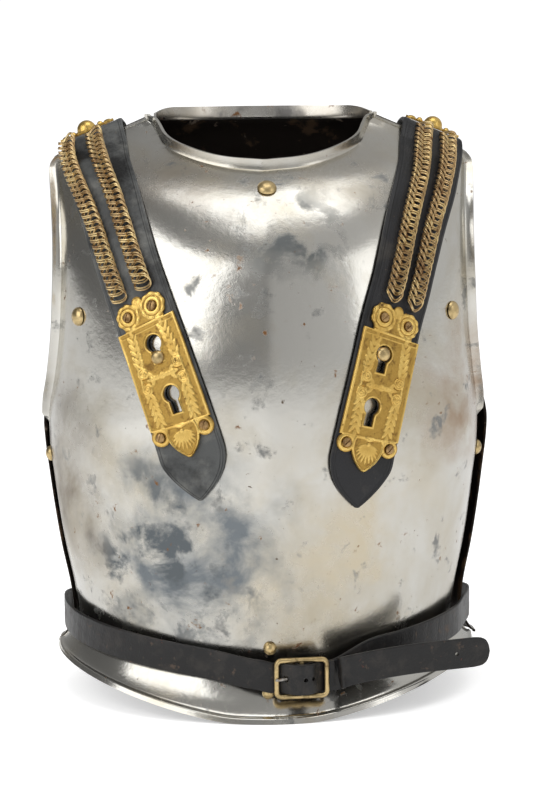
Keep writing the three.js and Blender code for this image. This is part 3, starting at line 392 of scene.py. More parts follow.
def trim(x, y, field):
    """Keeps the cells of a grid where a field is negative, and moves their rim onto its zero line."""
    def middle(a):
        return (a[:-1, :-1] + a[1:, :-1] + a[:-1, 1:] + a[1:, 1:]) / 4

    keep = field(middle(x), middle(y)) < 0
    rows, columns = x.shape
    kept, all_round = np.zeros(x.shape, int), np.zeros(x.shape, int)
    for r in (0, 1):
        for c in (0, 1):
            kept[r:r + rows - 1, c:c + columns - 1] += keep
            all_round[r:r + rows - 1, c:c + columns - 1] += 1
    rim = (kept > 0) & (kept < all_round)
    step, furthest, least_slope = 0.05, 0.4, 0.3
    for _ in range(5):
        slope_x = (field(x + step, y) - field(x - step, y)) / (2 * step)
        slope_y = (field(x, y + step) - field(x, y - step)) / (2 * step)
        slope = np.maximum(slope_x**2 + slope_y**2, least_slope)
        move = np.clip(field(x, y), -furthest, furthest) / slope
        x, y = np.where(rim, x - slope_x * move, x), np.where(rim, y - slope_y * move, y)
    return x, y, keep


def sheet_mesh(outer, inner, keep):
    """A closed wall between two grids of points, only where cells are kept."""
    count = outer.shape[0] * outer.shape[1]
    r, c = np.nonzero(keep)
    a = r * outer.shape[1] + c
    quads = np.stack([a, a + 1, a + outer.shape[1] + 1, a + outer.shape[1]], 1)
    starts, ends = quads.ravel(), np.roll(quads, -1, axis=1).ravel()
    alone = ~np.isin(starts * count + ends, ends * count + starts)
    s, e = starts[alone], ends[alone]
    faces = np.concatenate([quads, quads[:, ::-1] + count, np.stack([s + count, e + count, e, s], 1)])
    verts = np.concatenate([outer.reshape(count, -1), inner.reshape(count, -1)])
    used, faces_used = np.unique(faces, return_inverse=True)
    return verts[used], faces_used.reshape(faces.shape)


def lathe_mesh(profile, place, sides=48):
    """Turns a profile of radius and height, from the axis to the axis, about the piece's own Z."""
    radius, height = (np.array(c, float) for c in zip(*profile[1:-1]))
    angle = circle(sides)
    x, y = radius[:, None] * np.cos(angle), radius[:, None] * np.sin(angle)
    ring = place(x, y, height[:, None] + 0 * angle)
    poles = place(np.zeros(2), np.zeros(2), np.array([profile[0][1], profile[-1][1]]))
    count = len(radius) * sides
    faces = [tuple(f) for f in grid_faces(len(radius), sides, closed=True)]
    faces += [(count, (k + 1) % sides, k) for k in range(sides)]
    last = count - sides
    faces += [(count + 1, last + k, last + (k + 1) % sides) for k in range(sides)]
    return np.concatenate([ring.reshape(-1, 3), poles]), faces


def rings_mesh(centres, first_axis, second_axis, sides, closed):
    """Tubes along paths: centres is tubes x points x 3, with two half axes of the section at each point."""
    tubes, points = centres.shape[:2]
    angle = circle(sides)[:, None]
    first, second = first_axis[:, :, None] * np.cos(angle), second_axis[:, :, None] * np.sin(angle)
    verts = centres[:, :, None] + first + second
    one = grid_faces(points + closed, sides, closed=True)
    one = np.where(one >= points * sides, one - points * sides, one)
    faces = [tuple(f) for f in (one[None] + np.arange(tubes)[:, None, None] * points * sides).reshape(-1, 4)]
    if not closed:
        for tube in range(tubes):
            first = tube * points * sides
            last = first + (points - 1) * sides
            faces += [tuple(range(first + sides - 1, first - 1, -1)), tuple(range(last, last + sides))]
    return verts.reshape(-1, 3), faces


def hermite(keys, knots, at):
    """A smooth path through rows of points; knots and at are measures along it."""
    slopes = np.gradient(keys, knots, axis=0)
    k = np.clip(np.searchsorted(knots, at, side="right") - 1, 0, len(knots) - 2)
    shape = (-1,) + (1,) * (keys.ndim - 1)
    w = (knots[k + 1] - knots[k]).reshape(shape)
    t = (at - knots[k]).reshape(shape) / w
    ends = (2 * t**3 - 3 * t**2 + 1) * keys[k] + (3 * t**2 - 2 * t**3) * keys[k + 1]
    return ends + ((t**3 - 2 * t**2 + t) * slopes[k] + (t**3 - t**2) * slopes[k + 1]) * w


def with_relief(points, height):
    """Adds a fourth column, the ornament's height, which the material reads."""
    return np.concatenate([points, np.broadcast_to(height, points.shape[:-1])[..., None]], -1)


def lengths_along(points):
    return np.concatenate([[0], np.cumsum(np.linalg.norm(np.diff(points, axis=0), axis=-1))])


# ---------------------------------------------------------------- places on the shoulder straps
GAP = 0.35
STRAP = dict(width=52, thick=2.8, lift=1.6, arch=5, over_part=0.95, top_z=424, tip_length=36, tip_half=1.6)
SHOULDER = dict(half_at=158.6, slope=0.413, over=(-9, 2, 13))
LEATHER_TOP = STRAP["lift"] + STRAP["thick"]
PLATE_BOTTOM = LEATHER_TOP + GAP + 0.15
PLATE_TOP = PLATE_BOTTOM + 2
BACK_LANDING = dict(x=130, lift=2.6, heights=(429.5, 422, 412, 400, 388))
STRAPS = dict(
    left=dict(side=-1, screws_z=311, point=148, key_across=1.6, inner=10.2, outer=11.4, shift=8,
              stud=(1.6, 37), low=162,
              centre=smooth_curve([(170, -51), (205, -57.7), (277, -81), (311, -93), (348, -106), (388, -118),
                                   (414, -127), (432, -131)])),
    right=dict(side=1, screws_z=301, point=142, key_across=-4, inner=8.6, outer=10.4, shift=0,
               stud=(-5, 26), low=154,
               centre=smooth_curve([(162, 63), (194, 67), (277, 86.5), (301, 92.7), (327, 101), (373, 114.5),
                                    (408, 127.5), (432, 134)])),
)


def lay_out(strap):
    """Measures along a strap's centre line on the breastplate, down from the plate's upper screws."""
    heights = np.linspace(strap["low"], STRAP["top_z"], 560)
    points, _ = face_at(breast, strap["centre"](heights), heights)
    lengths = lengths_along(points)
    zero = np.interp(strap["screws_z"], heights, lengths)
    strap["top"] = zero - lengths[-1]
    strap["at"] = lambda down: columns_at(zero - down, lengths, points)


for strap in STRAPS.values():
    lay_out(strap)


def strap_face(strap, across, down):
    """Points of the breastplate's face under a strap, with the outward normals and the way up the strap."""
    across, down = np.broadcast_arrays(np.asarray(across, float), np.asarray(down, float))
    centre = strap["at"](down)
    up_way = unit(strap["at"](down - 1) - strap["at"](down + 1))
    _, normal = face_at(breast, centre[..., 0], centre[..., 2])
    way = unit(np.cross(up_way, normal)) * np.where(across < 0, -1, 1)[..., None]
    point, normal = face_beside(breast, centre, way, np.abs(across))
    return point, normal, up_way


def over_shoulder(strap, across, y):
    """A point and the normal over the shoulder, where the strap lies free between the plates."""
    tilt = math.atan(SHOULDER["slope"])
    across, y = np.broadcast_arrays(np.asarray(across, float), np.asarray(y, float))
    x = strap["centre"](432.0) + across * math.cos(tilt)
    z = SHOULDER_Z + (SHOULDER["half_at"] - np.abs(x)) * SHOULDER["slope"] + STRAP["arch"]
    normal = np.array([strap["side"] * math.sin(tilt), 0, math.cos(tilt)])
    return np.stack([x, y, z], -1), normal + 0 * x[..., None]


def on_strap(strap, place=(0.0, 0.0), base=0.0):
    """Bends what is made flat, across, up and out, onto a strap."""
    def bend(x, y, z):
        point, normal, _ = strap_face(strap, x + place[0], place[1] - y)
        return point + normal * (z + base)[..., None]
    return bend


def in_disc(x, y, radius, cx=0.0, cy=0.0):
    """Distance outside a disc, negative inside it."""
    return np.hypot(x - cx, y - cy) - radius


def in_box(x, y, left, low, right, high):
    """Distance outside an upright box, negative inside it."""
    beside = np.abs(x - (left + right) / 2) - (right - left) / 2
    return np.maximum(beside, np.abs(y - (low + high) / 2) - (high - low) / 2)


KEYHOLE = dict(radius=6.3, slot_half=3.5, places=((26, 39.8), (65.5, 80)))
LOBE = dict(x=10.8, radius=10, scallop=0.35)
FOOT = dict(x=17.7, down=94.5, radius=7.2)
SCREW_PLACES = dict(upper_inner=(-LOBE["x"], 0), upper_outer=(LOBE["x"], 0),
                    lower_inner=(-FOOT["x"], FOOT["down"]), lower_outer=(FOOT["x"], FOOT["down"]))


def keyhole_distance(strap, x, y, ease=0.0):
    """Negative inside the keyholes; y is up, so it is minus the distance down."""
    middle, half = strap["key_across"], KEYHOLE["slot_half"]
    near = 1e3
    for down, end in KEYHOLE["places"]:
        disc = in_disc(x, y, KEYHOLE["radius"] + ease, middle, -down)
        slot = in_box(x, y, middle - half - ease, -end - ease, middle + half + ease, -down)
        near = np.minimum(near, np.minimum(disc, slot))
    return near


STRAP_FACE = dict(ridges=((2.3, 0.5), (4.3, 0.5)), ridge_height=0.55, grooves=((3.3, 0.4), (1.3, 0.35)),
                  wear=0.1, inset=0.12, strength=0.6, rounding=0.7, rounding_width=0.45, inner_ease=0.05)


def strap_landing(strap, parts):
    """Rows of points and normals over the shoulder and down the backplate."""
    half = STRAP["width"] / 2
    rows, normals = [], []
    for over in SHOULDER["over"]:
        at, normal = over_shoulder(strap, STRAP["over_part"] * parts * STRAP["width"] / 2, over)
        rows.append(at)
        normals.append(normal)
    before = over_shoulder(strap, 0, SHOULDER["over"][-1])[0]
    for z in BACK_LANDING["heights"]:
        centre, normal = face_at(back, strap["side"] * BACK_LANDING["x"] + BACK_SHIFT_X, z)
        way = unit(np.cross(centre - before, normal)) * np.where(parts < 0, -1, 1)[:, None]
        at, normal = face_beside(back, centre + 0 * way, way, np.abs(parts) * half)
        rows.append(at + normal * BACK_LANDING["lift"])
        normals.append(normal)
        before = centre
    return rows, normals


def make_leather(name, strap):
    """A strap from its point on the breastplate, over the shoulder and onto the backplate."""
    point = strap["point"]
    parts = np.concatenate([[-1, -0.985, -0.965], np.linspace(-0.94, 0.94, 65), [0.965, 0.985, 1]])
    tip = point - STRAP["tip_length"] * (1 - np.linspace(1, 0, 44))
    downs = np.concatenate([tip, np.linspace(point - STRAP["tip_length"], strap["top"], 300)[1:]])
    to_point = np.clip((downs - point + STRAP["tip_length"]) / STRAP["tip_length"], 0, 1)
    half = STRAP["width"] / 2 + (STRAP["tip_half"] - STRAP["width"] / 2) * to_point**1.9
    x, y = parts * half[:, None], -downs[:, None] + 0 * parts
    x, y, keep = trim(x, y, lambda px, py: -keyhole_distance(strap, px, py, 0.5))
    front, front_normal, _ = strap_face(strap, x, -y)
    rows, normals = strap_landing(strap, parts)
    middle = len(parts) // 2
    keys = np.concatenate([front[[-12, -6, -1]], rows])
    key_normals = np.concatenate([front_normal[[-12, -6, -1]], normals])
    knots = lengths_along(keys[:, middle])
    at = np.linspace(knots[2], knots[-1], 70)[1:]
    grid = np.concatenate([front, hermite(keys, knots, at)])
    normal = unit(np.concatenate([front_normal, hermite(key_normals, knots, at)]))
    width = np.concatenate([half, np.full(len(at), STRAP["width"] / 2)])
    in_from_edge = (1 - np.abs(parts)) * width[:, None]
    run = lengths_along(grid[:, middle])
    length = run[:, None]
    ridges = sum(ridge(in_from_edge - at, wide) for at, wide in STRAP_FACE["ridges"])
    lines = STRAP_FACE["ridge_height"] * ridges
    worn = STRAP_FACE["wear"] * np.sin(length / 7.3 + 2 * parts) * np.sin(length / 3.1 - 5 * parts)
    rounded = -STRAP_FACE["rounding"] * np.exp(-in_from_edge / STRAP_FACE["rounding_width"])
    strength = STRAP_FACE["strength"]
    height = LEATHER_TOP - STRAP_FACE["inset"] + lines * strength + worn * strength + rounded
    # painted shade: the grooves beside the embossed ridges only lower the relief that the strap's material reads, and
    # the material darkens them
    relief = 1.0
    for at, wide in STRAP_FACE["grooves"]:
        relief = relief - ridge(in_from_edge - at, wide)
    outer = with_relief(grid + normal * height[..., None], relief)
    inner = with_relief(grid + normal * (STRAP["lift"] + STRAP_FACE["inner_ease"]), 1.0)
    kept = np.ones((len(grid) - 1, len(parts) - 1), bool)
    kept[:keep.shape[0]] = keep
    verts, faces = sheet_mesh(outer, inner, kept)
    new_object(verts, faces, name, strap_leathers["left" if strap["side"] < 0 else "right"])


# ---------------------------------------------------------------- keyhole plates
PLATE_CELL = 0.48
PLATE_BOXES = ((-24.5, -89, 24.5, -10.5), (-16.8, -12, 16.8, 1), (-23, -93, 23, -88), (-5, 0, 5, 5.5))
BUD = dict(radius=4.2, y=7.5)
SHIELD = dict(top=88, low=114.3, length=26.5, half=13, cleft=1.5, cleft_width=3.0, rays_down=94.0)
LAURELS = ((43, 14, 1), (58, 87, -1))  # from and to, down the plate, and whether the leaves point up or down
SCROLLS = ((14.4, -44.5, 1), (15, -56.5, -1))  # the eye's places across and up, and the way it turns
BAR_DOWN, BAR_HALF = 50.4, 10.5
GROUND = dict(height=0.08, speckle=0.1, sunk=0.25, eased=0.5)


def petal(x, y, cx, cy, angle, length, half):
    """Height of a slender ribbed leaf with its foot at cx, cy, turned by an angle from straight up."""
    a = radians(angle)
    along = ((x - cx) * -np.sin(a) + (y - cy) * np.cos(a)) / length
    beside = (x - cx) * np.cos(a) + (y - cy) * np.sin(a)
    wide = half * np.sqrt(np.clip(np.sin(np.pi * np.clip(along, 0, 1) ** 0.85), 0, 1)) + 1e-3
    body = bump(beside, wide) * (along > 0) * (along < 1)
    return body * (0.55 + 0.35 * along) - 0.28 * ridge(beside, 0.28) * (body > 0)


def shield_half(down):
    t = np.clip((down - SHIELD["top"]) / SHIELD["length"], 0, 1)
    return SHIELD["half"] * np.clip(np.sin(np.pi * (0.33 + 0.67 * t)), 0, 1) ** 0.75


def shield_cleft(x):
    return SHIELD["cleft"] * ridge(x, SHIELD["cleft_width"])


def plate_outline(strap, x, y):
    """Negative on the plate: its field, the lobes and the bud above, the feet and the shield below."""
    shapes = [in_box(x, y, *box) for box in PLATE_BOXES]
    shapes.append(in_disc(x, y, BUD["radius"], 0, BUD["y"]))
    for side in (-1, 1):
        scallop = LOBE["scallop"] * np.cos(9 * np.arctan2(y, x - side * LOBE["x"]))
        shapes.append(in_disc(x, y, LOBE["radius"] + scallop, side * LOBE["x"], 0))
        shapes.append(in_disc(x, y, FOOT["radius"], side * FOOT["x"], -FOOT["down"]))
    ends = np.maximum(y + SHIELD["top"] + shield_cleft(x), -y - SHIELD["low"])
    shapes.append(np.maximum(np.abs(x) - shield_half(-y), ends))
    out = np.minimum.reduce(shapes)
    for across, down in SCREW_PLACES.values():
        out = np.maximum(out, -in_disc(x, y, 2.0, across, -down))
    return np.maximum(out, -keyhole_distance(strap, x, y))


def bands(strap, x, y):
    """The raised borders along the plate's top, sides and foot, and round its keyholes."""
    down = -y
    sides = 0.75 * bump(np.abs(x) - 23.7, 1.3) * (down > 10.5) * (down < 89)
    return [0.95 * bump(down - 10.6, 1.1), 0.5 * bump(down - 14.3, 0.6), sides, 0.7 * bump(down - 88.6, 0.9),
            0.65 * bump(keyhole_distance(strap, x, y) - 0.7, 0.9)]


def rings_and_scallops(x, y, side):
    """The scalloped lobe round an upper screw, and the foot with three beads round a lower one."""
    from_lobe = in_disc(x, y, 0, side * LOBE["x"], 0)
    turn = np.arctan2(y, x - side * LOBE["x"])
    scallops = 0.3 + 0.55 * np.abs(np.cos(4.5 * turn))
    from_foot = in_disc(x, y, 0, side * FOOT["x"], -FOOT["down"])
    layers = [1.0 * bump(from_lobe - 5.3, 1.5) ** 0.6, scallops * bump(from_lobe - 8.7, 1.5) * (-y < 9.4),
              0.85 * bump(from_foot - 5.2, 1.3)]
    for k in range(-1, 2):
        from_bead = in_disc(x, y, 0, side * (21.5 - 2 * abs(k)), -98.6 + 2.6 * k)
        layers.append(0.7 * bump(from_bead, 1.1) * (-y > 95))
    return layers


def scrolls(x, y, side):
    """Two spirals with their stems, one over and one under the middle bar."""
    layers = []
    for across, up, way in SCROLLS:
        from_eye = in_disc(x, y, 0, side * across, up)
        phase = from_eye / 1.75 + way * side * np.arctan2(y - up, x - side * across) / (2 * np.pi)
        layers.append((0.35 + 0.65 * np.abs(np.cos(np.pi * phase))) * (from_eye < 4.6))
        stem = bump(x - side * (across + 2.6 + 0.9 * np.cos((y - up) / 5)), 0.85)
        layers.append(0.7 * stem * (np.abs(y - up) < 7.5))
    return layers


def laurels(x, y, side):
    """Two sprays of five pairs of leaves and one at the end."""
    layers = []
    for start, end, way in LAURELS:
        for i in range(6):
            part = i / 5
            foot = start + (end - start) * part * 0.86 - way * 1.5
            stem = side * (14.5 + (0.6 - 2.2 * part) * (1 if way > 0 else 0.6))
            for lean in ((-30, 30) if i < 5 else (0,)):
                angle = lean if way > 0 else 180 - lean
                layers.append(petal(x, y, stem, -foot, angle, 8.4, 1.75))
    return layers


def bar_and_palmette(x, y):
    """The twisted bar across the middle with leaves at its ends, and the palmette on the bud."""
    down = -y
    waist = 2.1 + 0.7 * np.cos(x * 0.9) * np.cos(x * 0.33)
    twist = 0.8 + 0.2 * np.cos(2.6 * x + 2.0 * (down - BAR_DOWN))
    layers = [1.0 * bump(down - BAR_DOWN, waist) * twist * (np.abs(x) < BAR_HALF)]
    for side in (-1, 1):
        for angle in (35, 90, 145):
            layers.append(petal(x, y, side * 6.5, -BAR_DOWN, -side * angle, 7.0, 1.6) * 0.9)
    petals = 0.5 + 0.5 * np.abs(np.cos(3 * np.arctan2(y - 4.5, x)))
    layers.append(0.6 * petals * (in_disc(x, y, 0, 0, 6.5) < 4.2))
    return layers + [petal(x, y, 0, 3.2, angle, 6.2, 1.6) for angle in (-60, 0, 60)]


def shield(x, y):
    """The shield at the foot: a raised rim, a fan of rays and a bead where they meet."""
    down = -y
    inside = shield_half(down) - np.abs(x)
    rim = np.minimum(inside, np.minimum(SHIELD["low"] - down, down - SHIELD["top"] - shield_cleft(x)))
    on_shield = (down > SHIELD["top"]) & (inside > 0)
    bead = bump(in_disc(x, y, 0, 0, -93.6), 1.7)
    layers = [1.15 * bump(rim - 1.0, 1.15) * on_shield, 0.9 * bead * on_shield]
    for k in range(-5, 6):
        ray = petal(x, y, 0.25 * k, -SHIELD["rays_down"], 180 + 13.5 * k, 14.5 - 0.28 * k * k, 1.15)
        layers.append(ray * 0.95 * (rim > 1.6) * on_shield)
    return layers


def plate_relief(strap, x, y):
    """Height of the ornament over the plate's ground."""
    speckle = np.sin(x * 5.1 + 2.1 * np.sin(y * 4.3)) * np.sin(y * 5.7 + 1.7 * np.sin(x * 3.9))
    layers = [GROUND["height"] + GROUND["speckle"] * speckle, *bands(strap, x, y)]
    for side in (-1, 1):
        layers += rings_and_scallops(x, y, side) + scrolls(x, y, side) + laurels(x, y, side)
    layers += bar_and_palmette(x, y) + shield(x, y)
    return np.maximum.reduce(layers) * ramp(0, GROUND["eased"], -plate_outline(strap, x, y))


def make_keyhole_plate(name, strap):
    x, y = np.meshgrid(np.arange(-25, 25.01, PLATE_CELL), np.arange(-115, 12.6, PLATE_CELL))
    x, y, keep = trim(x, y, lambda px, py: plate_outline(strap, px, py))
    bend = on_strap(strap)
    relief = plate_relief(strap, x, y)
    # the ornament's height goes to the gilt material, which paints shade where it is low
    outer = with_relief(bend(x, y, PLATE_TOP - GROUND["sunk"] + relief), relief)
    inner = with_relief(bend(x, y, np.full(x.shape, PLATE_BOTTOM)), 0.0)
    verts, faces = sheet_mesh(outer, inner, keep)
    new_object(verts, faces, name, gilt)



# ---------------------------------------------------------------- studs, screws and bosses
SHANK = dict(radius=2, depth=3)
FACE_STUDS = dict(  # across, height over the floor, radius and height of the dome
    neck_stud=(1, 401, 7.4, 4.6), armhole_stud_left=(-143.5, 303.5, 7.2, 4.4),
    armhole_stud_right=(143.5, 304.5, 7.2, 4.4), side_stud_left=(-169.2, 187, 6.2, 4.6),
    side_stud_right=(169.2, 187, 6.2, 4.6), belt_guide_upper=(-1.5, 55.8, 5.2, 5.4))
LOWER_GUIDE = dict(across=-0.0135, up=-0.45, radius=4.6, height=5.2)
STRAP_STUD = dict(radius=5.4, height=4)


def domed_profile(radius, height, lift):
    """A stud from the foot of its shank to the top of its dome."""
    shank, depth = SHANK["radius"], SHANK["depth"]
    dome = [(radius * math.cos(a), lift + height * math.sin(a)) for a in np.linspace(0.12, 1.5, 12)]
    foot = [(0, -depth), (shank, -depth), (shank, lift + 0.1)]
    edge = [(radius * 0.94, lift), (radius, lift + 0.06 * height)]
    return foot + edge + dome + [(0, lift + height)]


def make_stud(name, point, normal, up_way, profile):
    verts, faces = lathe_mesh(profile, unit_place(point, normal, up_way))
    new_object(verts, faces, name, brass)


def make_studs():
    for name, (x, z, radius, height) in FACE_STUDS.items():
        make_stud(name, *face_at(breast, x, z), UPRIGHT, domed_profile(radius, height, GAP))
    place = LOWER_GUIDE["across"], LOWER_GUIDE["up"]
    profile = domed_profile(LOWER_GUIDE["radius"], LOWER_GUIDE["height"], 2 * GAP)
    point, normal = plate_point(breast, *place), plate_frame(breast, *place)[0]
    make_stud("belt_guide_lower", point, normal, UPRIGHT, profile)


SCREW_HEAD = dict(radius=3.4, height=1.8, shank=1.5, slot=0.8, slot_depth=0.75, slot_turn=55)


def make_screw(name, strap, across, down):
    """A domed head with a sawn slot, from a grid of rings whose height drops in the slot."""
    point, normal, up_way = strap_face(strap, across, down)
    lift, shank = PLATE_TOP + GAP, SCREW_HEAD["shank"]
    radius, half_slot = SCREW_HEAD["radius"], SCREW_HEAD["slot"] / 2
    rings = np.concatenate([np.linspace(0.12, 0.86, 16), [0.93, 0.98, 1.0]]) * radius
    angle = circle(72)
    x, y = rings[:, None] * np.cos(angle), rings[:, None] * np.sin(angle)
    domed = np.sqrt(np.clip(1 - 0.72 * (rings / radius) ** 2, 0, 1))[:, None]
    dome = lift + SCREW_HEAD["height"] * domed + 0 * x
    turn = radians(SCREW_HEAD["slot_turn"])
    from_slot = np.abs(-x * math.sin(turn) + y * math.cos(turn))
    dome = dome - SCREW_HEAD["slot_depth"] * (1 - ramp(half_slot, half_slot + 0.12, from_slot))
    foot = [(radius, lift), (shank, lift), (shank, STRAP["lift"])]
    x = np.concatenate([x, [r * np.cos(angle) for r, _ in foot]])
    y = np.concatenate([y, [r * np.sin(angle) for r, _ in foot]])
    z = np.concatenate([dome, [h + 0 * angle for _, h in foot]])
    place = unit_place(point, normal, up_way)
    verts = place(x, y, z).reshape(-1, 3)
    centre = place(np.zeros(2), np.zeros(2), np.array([dome[0].min(), STRAP["lift"]]))
    count, sides = len(verts), len(angle)
    faces = [tuple(f) for f in grid_faces(len(x), sides, closed=True, flip=True)]
    faces += [(count, k, (k + 1) % sides) for k in range(sides)]
    faces += [(count + 1, count - sides + (k + 1) % sides, count - sides + k) for k in range(sides)]
    new_object(np.concatenate([verts, centre]), faces, name, screw_brass)


BOSS = dict(y=4.5, cell=0.33, middle=10.3, wave=0.6, arm=(17.5, 3.2), end=17.5, end_radius=5.1, ground=1.5)


def boss_outline(x, y):
    waves = 0.5 * np.cos(8 * np.arctan2(y, x))
    half_length, half_width = BOSS["arm"]
    shapes = [in_disc(x, y, BOSS["middle"] + waves * BOSS["wave"]),
              in_box(x, y, -half_length, -half_width, half_length, half_width)]
    shapes += [in_disc(x, y, BOSS["end_radius"], side * BOSS["end"], 0) for side in (-1, 1)]
    return np.minimum.reduce(shapes)


def make_boss(name, strap):
    """Two leaf-like ends with beads on both sides of a domed middle."""
    point, normal = over_shoulder(strap, strap["side"] * strap["shift"] / 2, BOSS["y"])
    place = unit_place(point, normal, np.array([0, 1.0, 0]))
    base = LEATHER_TOP + GAP
    x, y = np.meshgrid(np.arange(-23, 23.01, BOSS["cell"]), np.arange(-11.5, 11.51, BOSS["cell"]))
    x, y, keep = trim(x, y, boss_outline)
    from_middle = np.hypot(x, y)
    layers = [0 * x, 7.6 * bump(from_middle, 7.6), 0.9 * bump(from_middle - 8.6, 1.0)]
    for side in (-1, 1):
        from_end = in_disc(x, y, 0, side * BOSS["end"], 0)
        leaves = 0.5 * np.abs(np.cos(3.5 * np.arctan2(y, x - side * BOSS["end"])))
        layers += [2.6 * bump(in_disc(x, y, 0, side * 11.4, 0), 2.5), 1.7 * bump(from_end, 3.2),
                   (from_end > 3.3) * leaves]
    height = np.maximum.reduce(layers)
    # the boss's height goes to the gilt material, which paints shade where it is low
    outer = with_relief(place(x, y, base + BOSS["ground"] + height), 0.1 + height)
    verts, faces = sheet_mesh(outer, with_relief(place(x, y, base + 0 * x), 0.0), keep)
    new_object(verts, faces, name, gilt)


# ---------------------------------------------------------------- ring chains
CHAIN = dict(half_width=6.6, half_length=5.3, wire=0.62, swing=2.4, pitch=5.9, second=1.8, height=6.2,
             arched=1.3, unevenness=0.035, widest=1.01, twist=0.12)
CHAIN_FROM, CHAIN_END_Y = -12.0, -8.0


def make_chain(name, strap, place):
    """Twisted oval rings in pairs along the chain's route, each ring over the next on one side."""
    across = strap[place] * (strap["side"] if place == "outer" else -strap["side"])
    downs = np.linspace(CHAIN_FROM, strap["top"], 15)
    end_shift = strap["side"] * strap["shift"]
    shift = end_shift * (downs / strap["top"]) ** 2
    points, normals, _ = strap_face(strap, across + shift, downs)
    end, end_normal = over_shoulder(strap, across + end_shift, CHAIN_END_Y)
    points, normals = np.concatenate([points, end[None]]), np.concatenate([normals, end_normal[None]])
    lift = LEATHER_TOP + GAP + CHAIN["height"] / 2 + CHAIN["arched"] * ramp(11, 15, np.arange(len(points)))
    points = points + normals * lift[:, None]
    knots = lengths_along(points)
    fine = np.linspace(0, knots[-1], 900)
    path, path_normal = hermite(points, knots, fine), hermite(normals, knots, fine)
    run = lengths_along(path)
    first = CHAIN["half_length"] + CHAIN["wire"] + 0.2
    starts = np.arange(first, run[-1] - first - CHAIN["second"] + 0.5, CHAIN["pitch"])
    at = np.sort(np.concatenate([starts, starts + CHAIN["second"]]))
    centre, normal = columns_at(at, run, path), columns_at(at, run, path_normal)
    tangent = unit(columns_at(at, run, np.gradient(path, axis=0)))
    normal = unit(normal - tangent * (normal * tangent).sum(-1, keepdims=True))
    beside = np.cross(tangent, normal)
    turn = circle(22)
    wobble = 1 + rng.uniform(-CHAIN["unevenness"], CHAIN["unevenness"], (len(at), 1))
    side = CHAIN["half_width"] * np.cos(turn) * np.minimum(wobble, CHAIN["widest"])
    length = CHAIN["half_length"] * np.sin(turn) * wobble
    out = CHAIN["swing"] * np.sin(2 * turn + rng.uniform(-CHAIN["twist"], CHAIN["twist"], (len(at), 1)))
    rings = centre[:, None] + beside[:, None] * side[..., None] + tangent[:, None] * length[..., None]
    rings = rings + normal[:, None] * out[..., None]
    way = unit(np.roll(rings, -1, axis=1) - np.roll(rings, 1, axis=1))
    axis = unit(np.cross(way, unit(rings - centre[:, None]))) * CHAIN["wire"]
    verts, faces = rings_mesh(rings, axis, np.cross(way, axis), 7, True)
    new_object(verts, faces, name, chain_brass)


# ---------------------------------------------------------------- waist belt and buckle
BELT = dict(width=23.2, thick=2.6, stand_off=6.4, side_stand_off=9.6, hole=1.6, end_length=13, inset=0.04)
BUCKLE = dict(x=20, z=34.2, width=42.4, height=32, bar=2, turn=6.5, stand_off=15.2, corner=4.0,
              middle_bar=1.9)
TONGUE = dict(eye=3.55, thick=1.15, wide=1.2, taper=0.72, flatter=1.4)
TONGUE_HOLE = dict(along=-12, out=1, radius=2.6)
BAR_SLOT = dict(half_length=6, half_width=3.2, only_before=60)
FREE_END_HOLE = (142, -122, 44.3)
LONG_BELT_IN_BUCKLE = ((-40, -8), (-31, -5.4), (-24, -4.1), (-18.8, -3.8), (-12.5, -0.3), (-6, 5), (0, 7.1),
                       (6, 5), (12.5, -0.5), (18.8, -3.8), (23, -3.8), (29, -3.4))
SHORT_BELT_LOOP = ((12, -4.5), (8.8, -3.7), (6, -0.8), (3.6, 2.4), (0, 3.95), (-2.8, 2.8), (-3.95, 0),
                   (-2.8, -2.8), (0.5, -5.1), (6, -7.1), (14, -7.8), (26, -8.3))
FREE_END = ((54, -149.8, 38.6), (78, -143.5, 42), (110, -133.5, 44.2), (142, -122, 44.3),
            (168.5, -111.5, 44.3))


def waist_place(across, plate, stand_off=None):
    """A place outside a plate at its waist, as far out as the belt's middle unless told otherwise."""
    across = np.asarray(across, float)
    if stand_off is None:
        further = BELT["side_stand_off"] - BELT["stand_off"]
        stand_off = BELT["stand_off"] + further * ramp(0.25, 0.8, np.abs(across))
    angle = radians(90 * across)
    outward = np.stack([np.sin(angle), plate["facing"] * np.cos(angle), 0 * angle], -1)
    return body_point(plate, angle, waist_height(plate, across)) + outward * np.asarray(stand_off)[..., None]


buckle_turn = radians(BUCKLE["turn"])
ALONG_WAY = np.array([math.cos(buckle_turn), math.sin(buckle_turn), 0])
OUT_WAY = np.array([math.sin(buckle_turn), -math.cos(buckle_turn), 0])
buckle_centre = waist_place(math.asin(BUCKLE["x"] / 151) / (math.pi / 2), breast, BUCKLE["stand_off"])
buckle_centre[2] = BUCKLE["z"]


def in_buckle(pairs):
    """Places given along the belt and out of it, from the middle of the buckle."""
    pairs = np.array(pairs, float)
    return buckle_centre + pairs[:, :1] * ALONG_WAY + pairs[:, 1:] * OUT_WAY


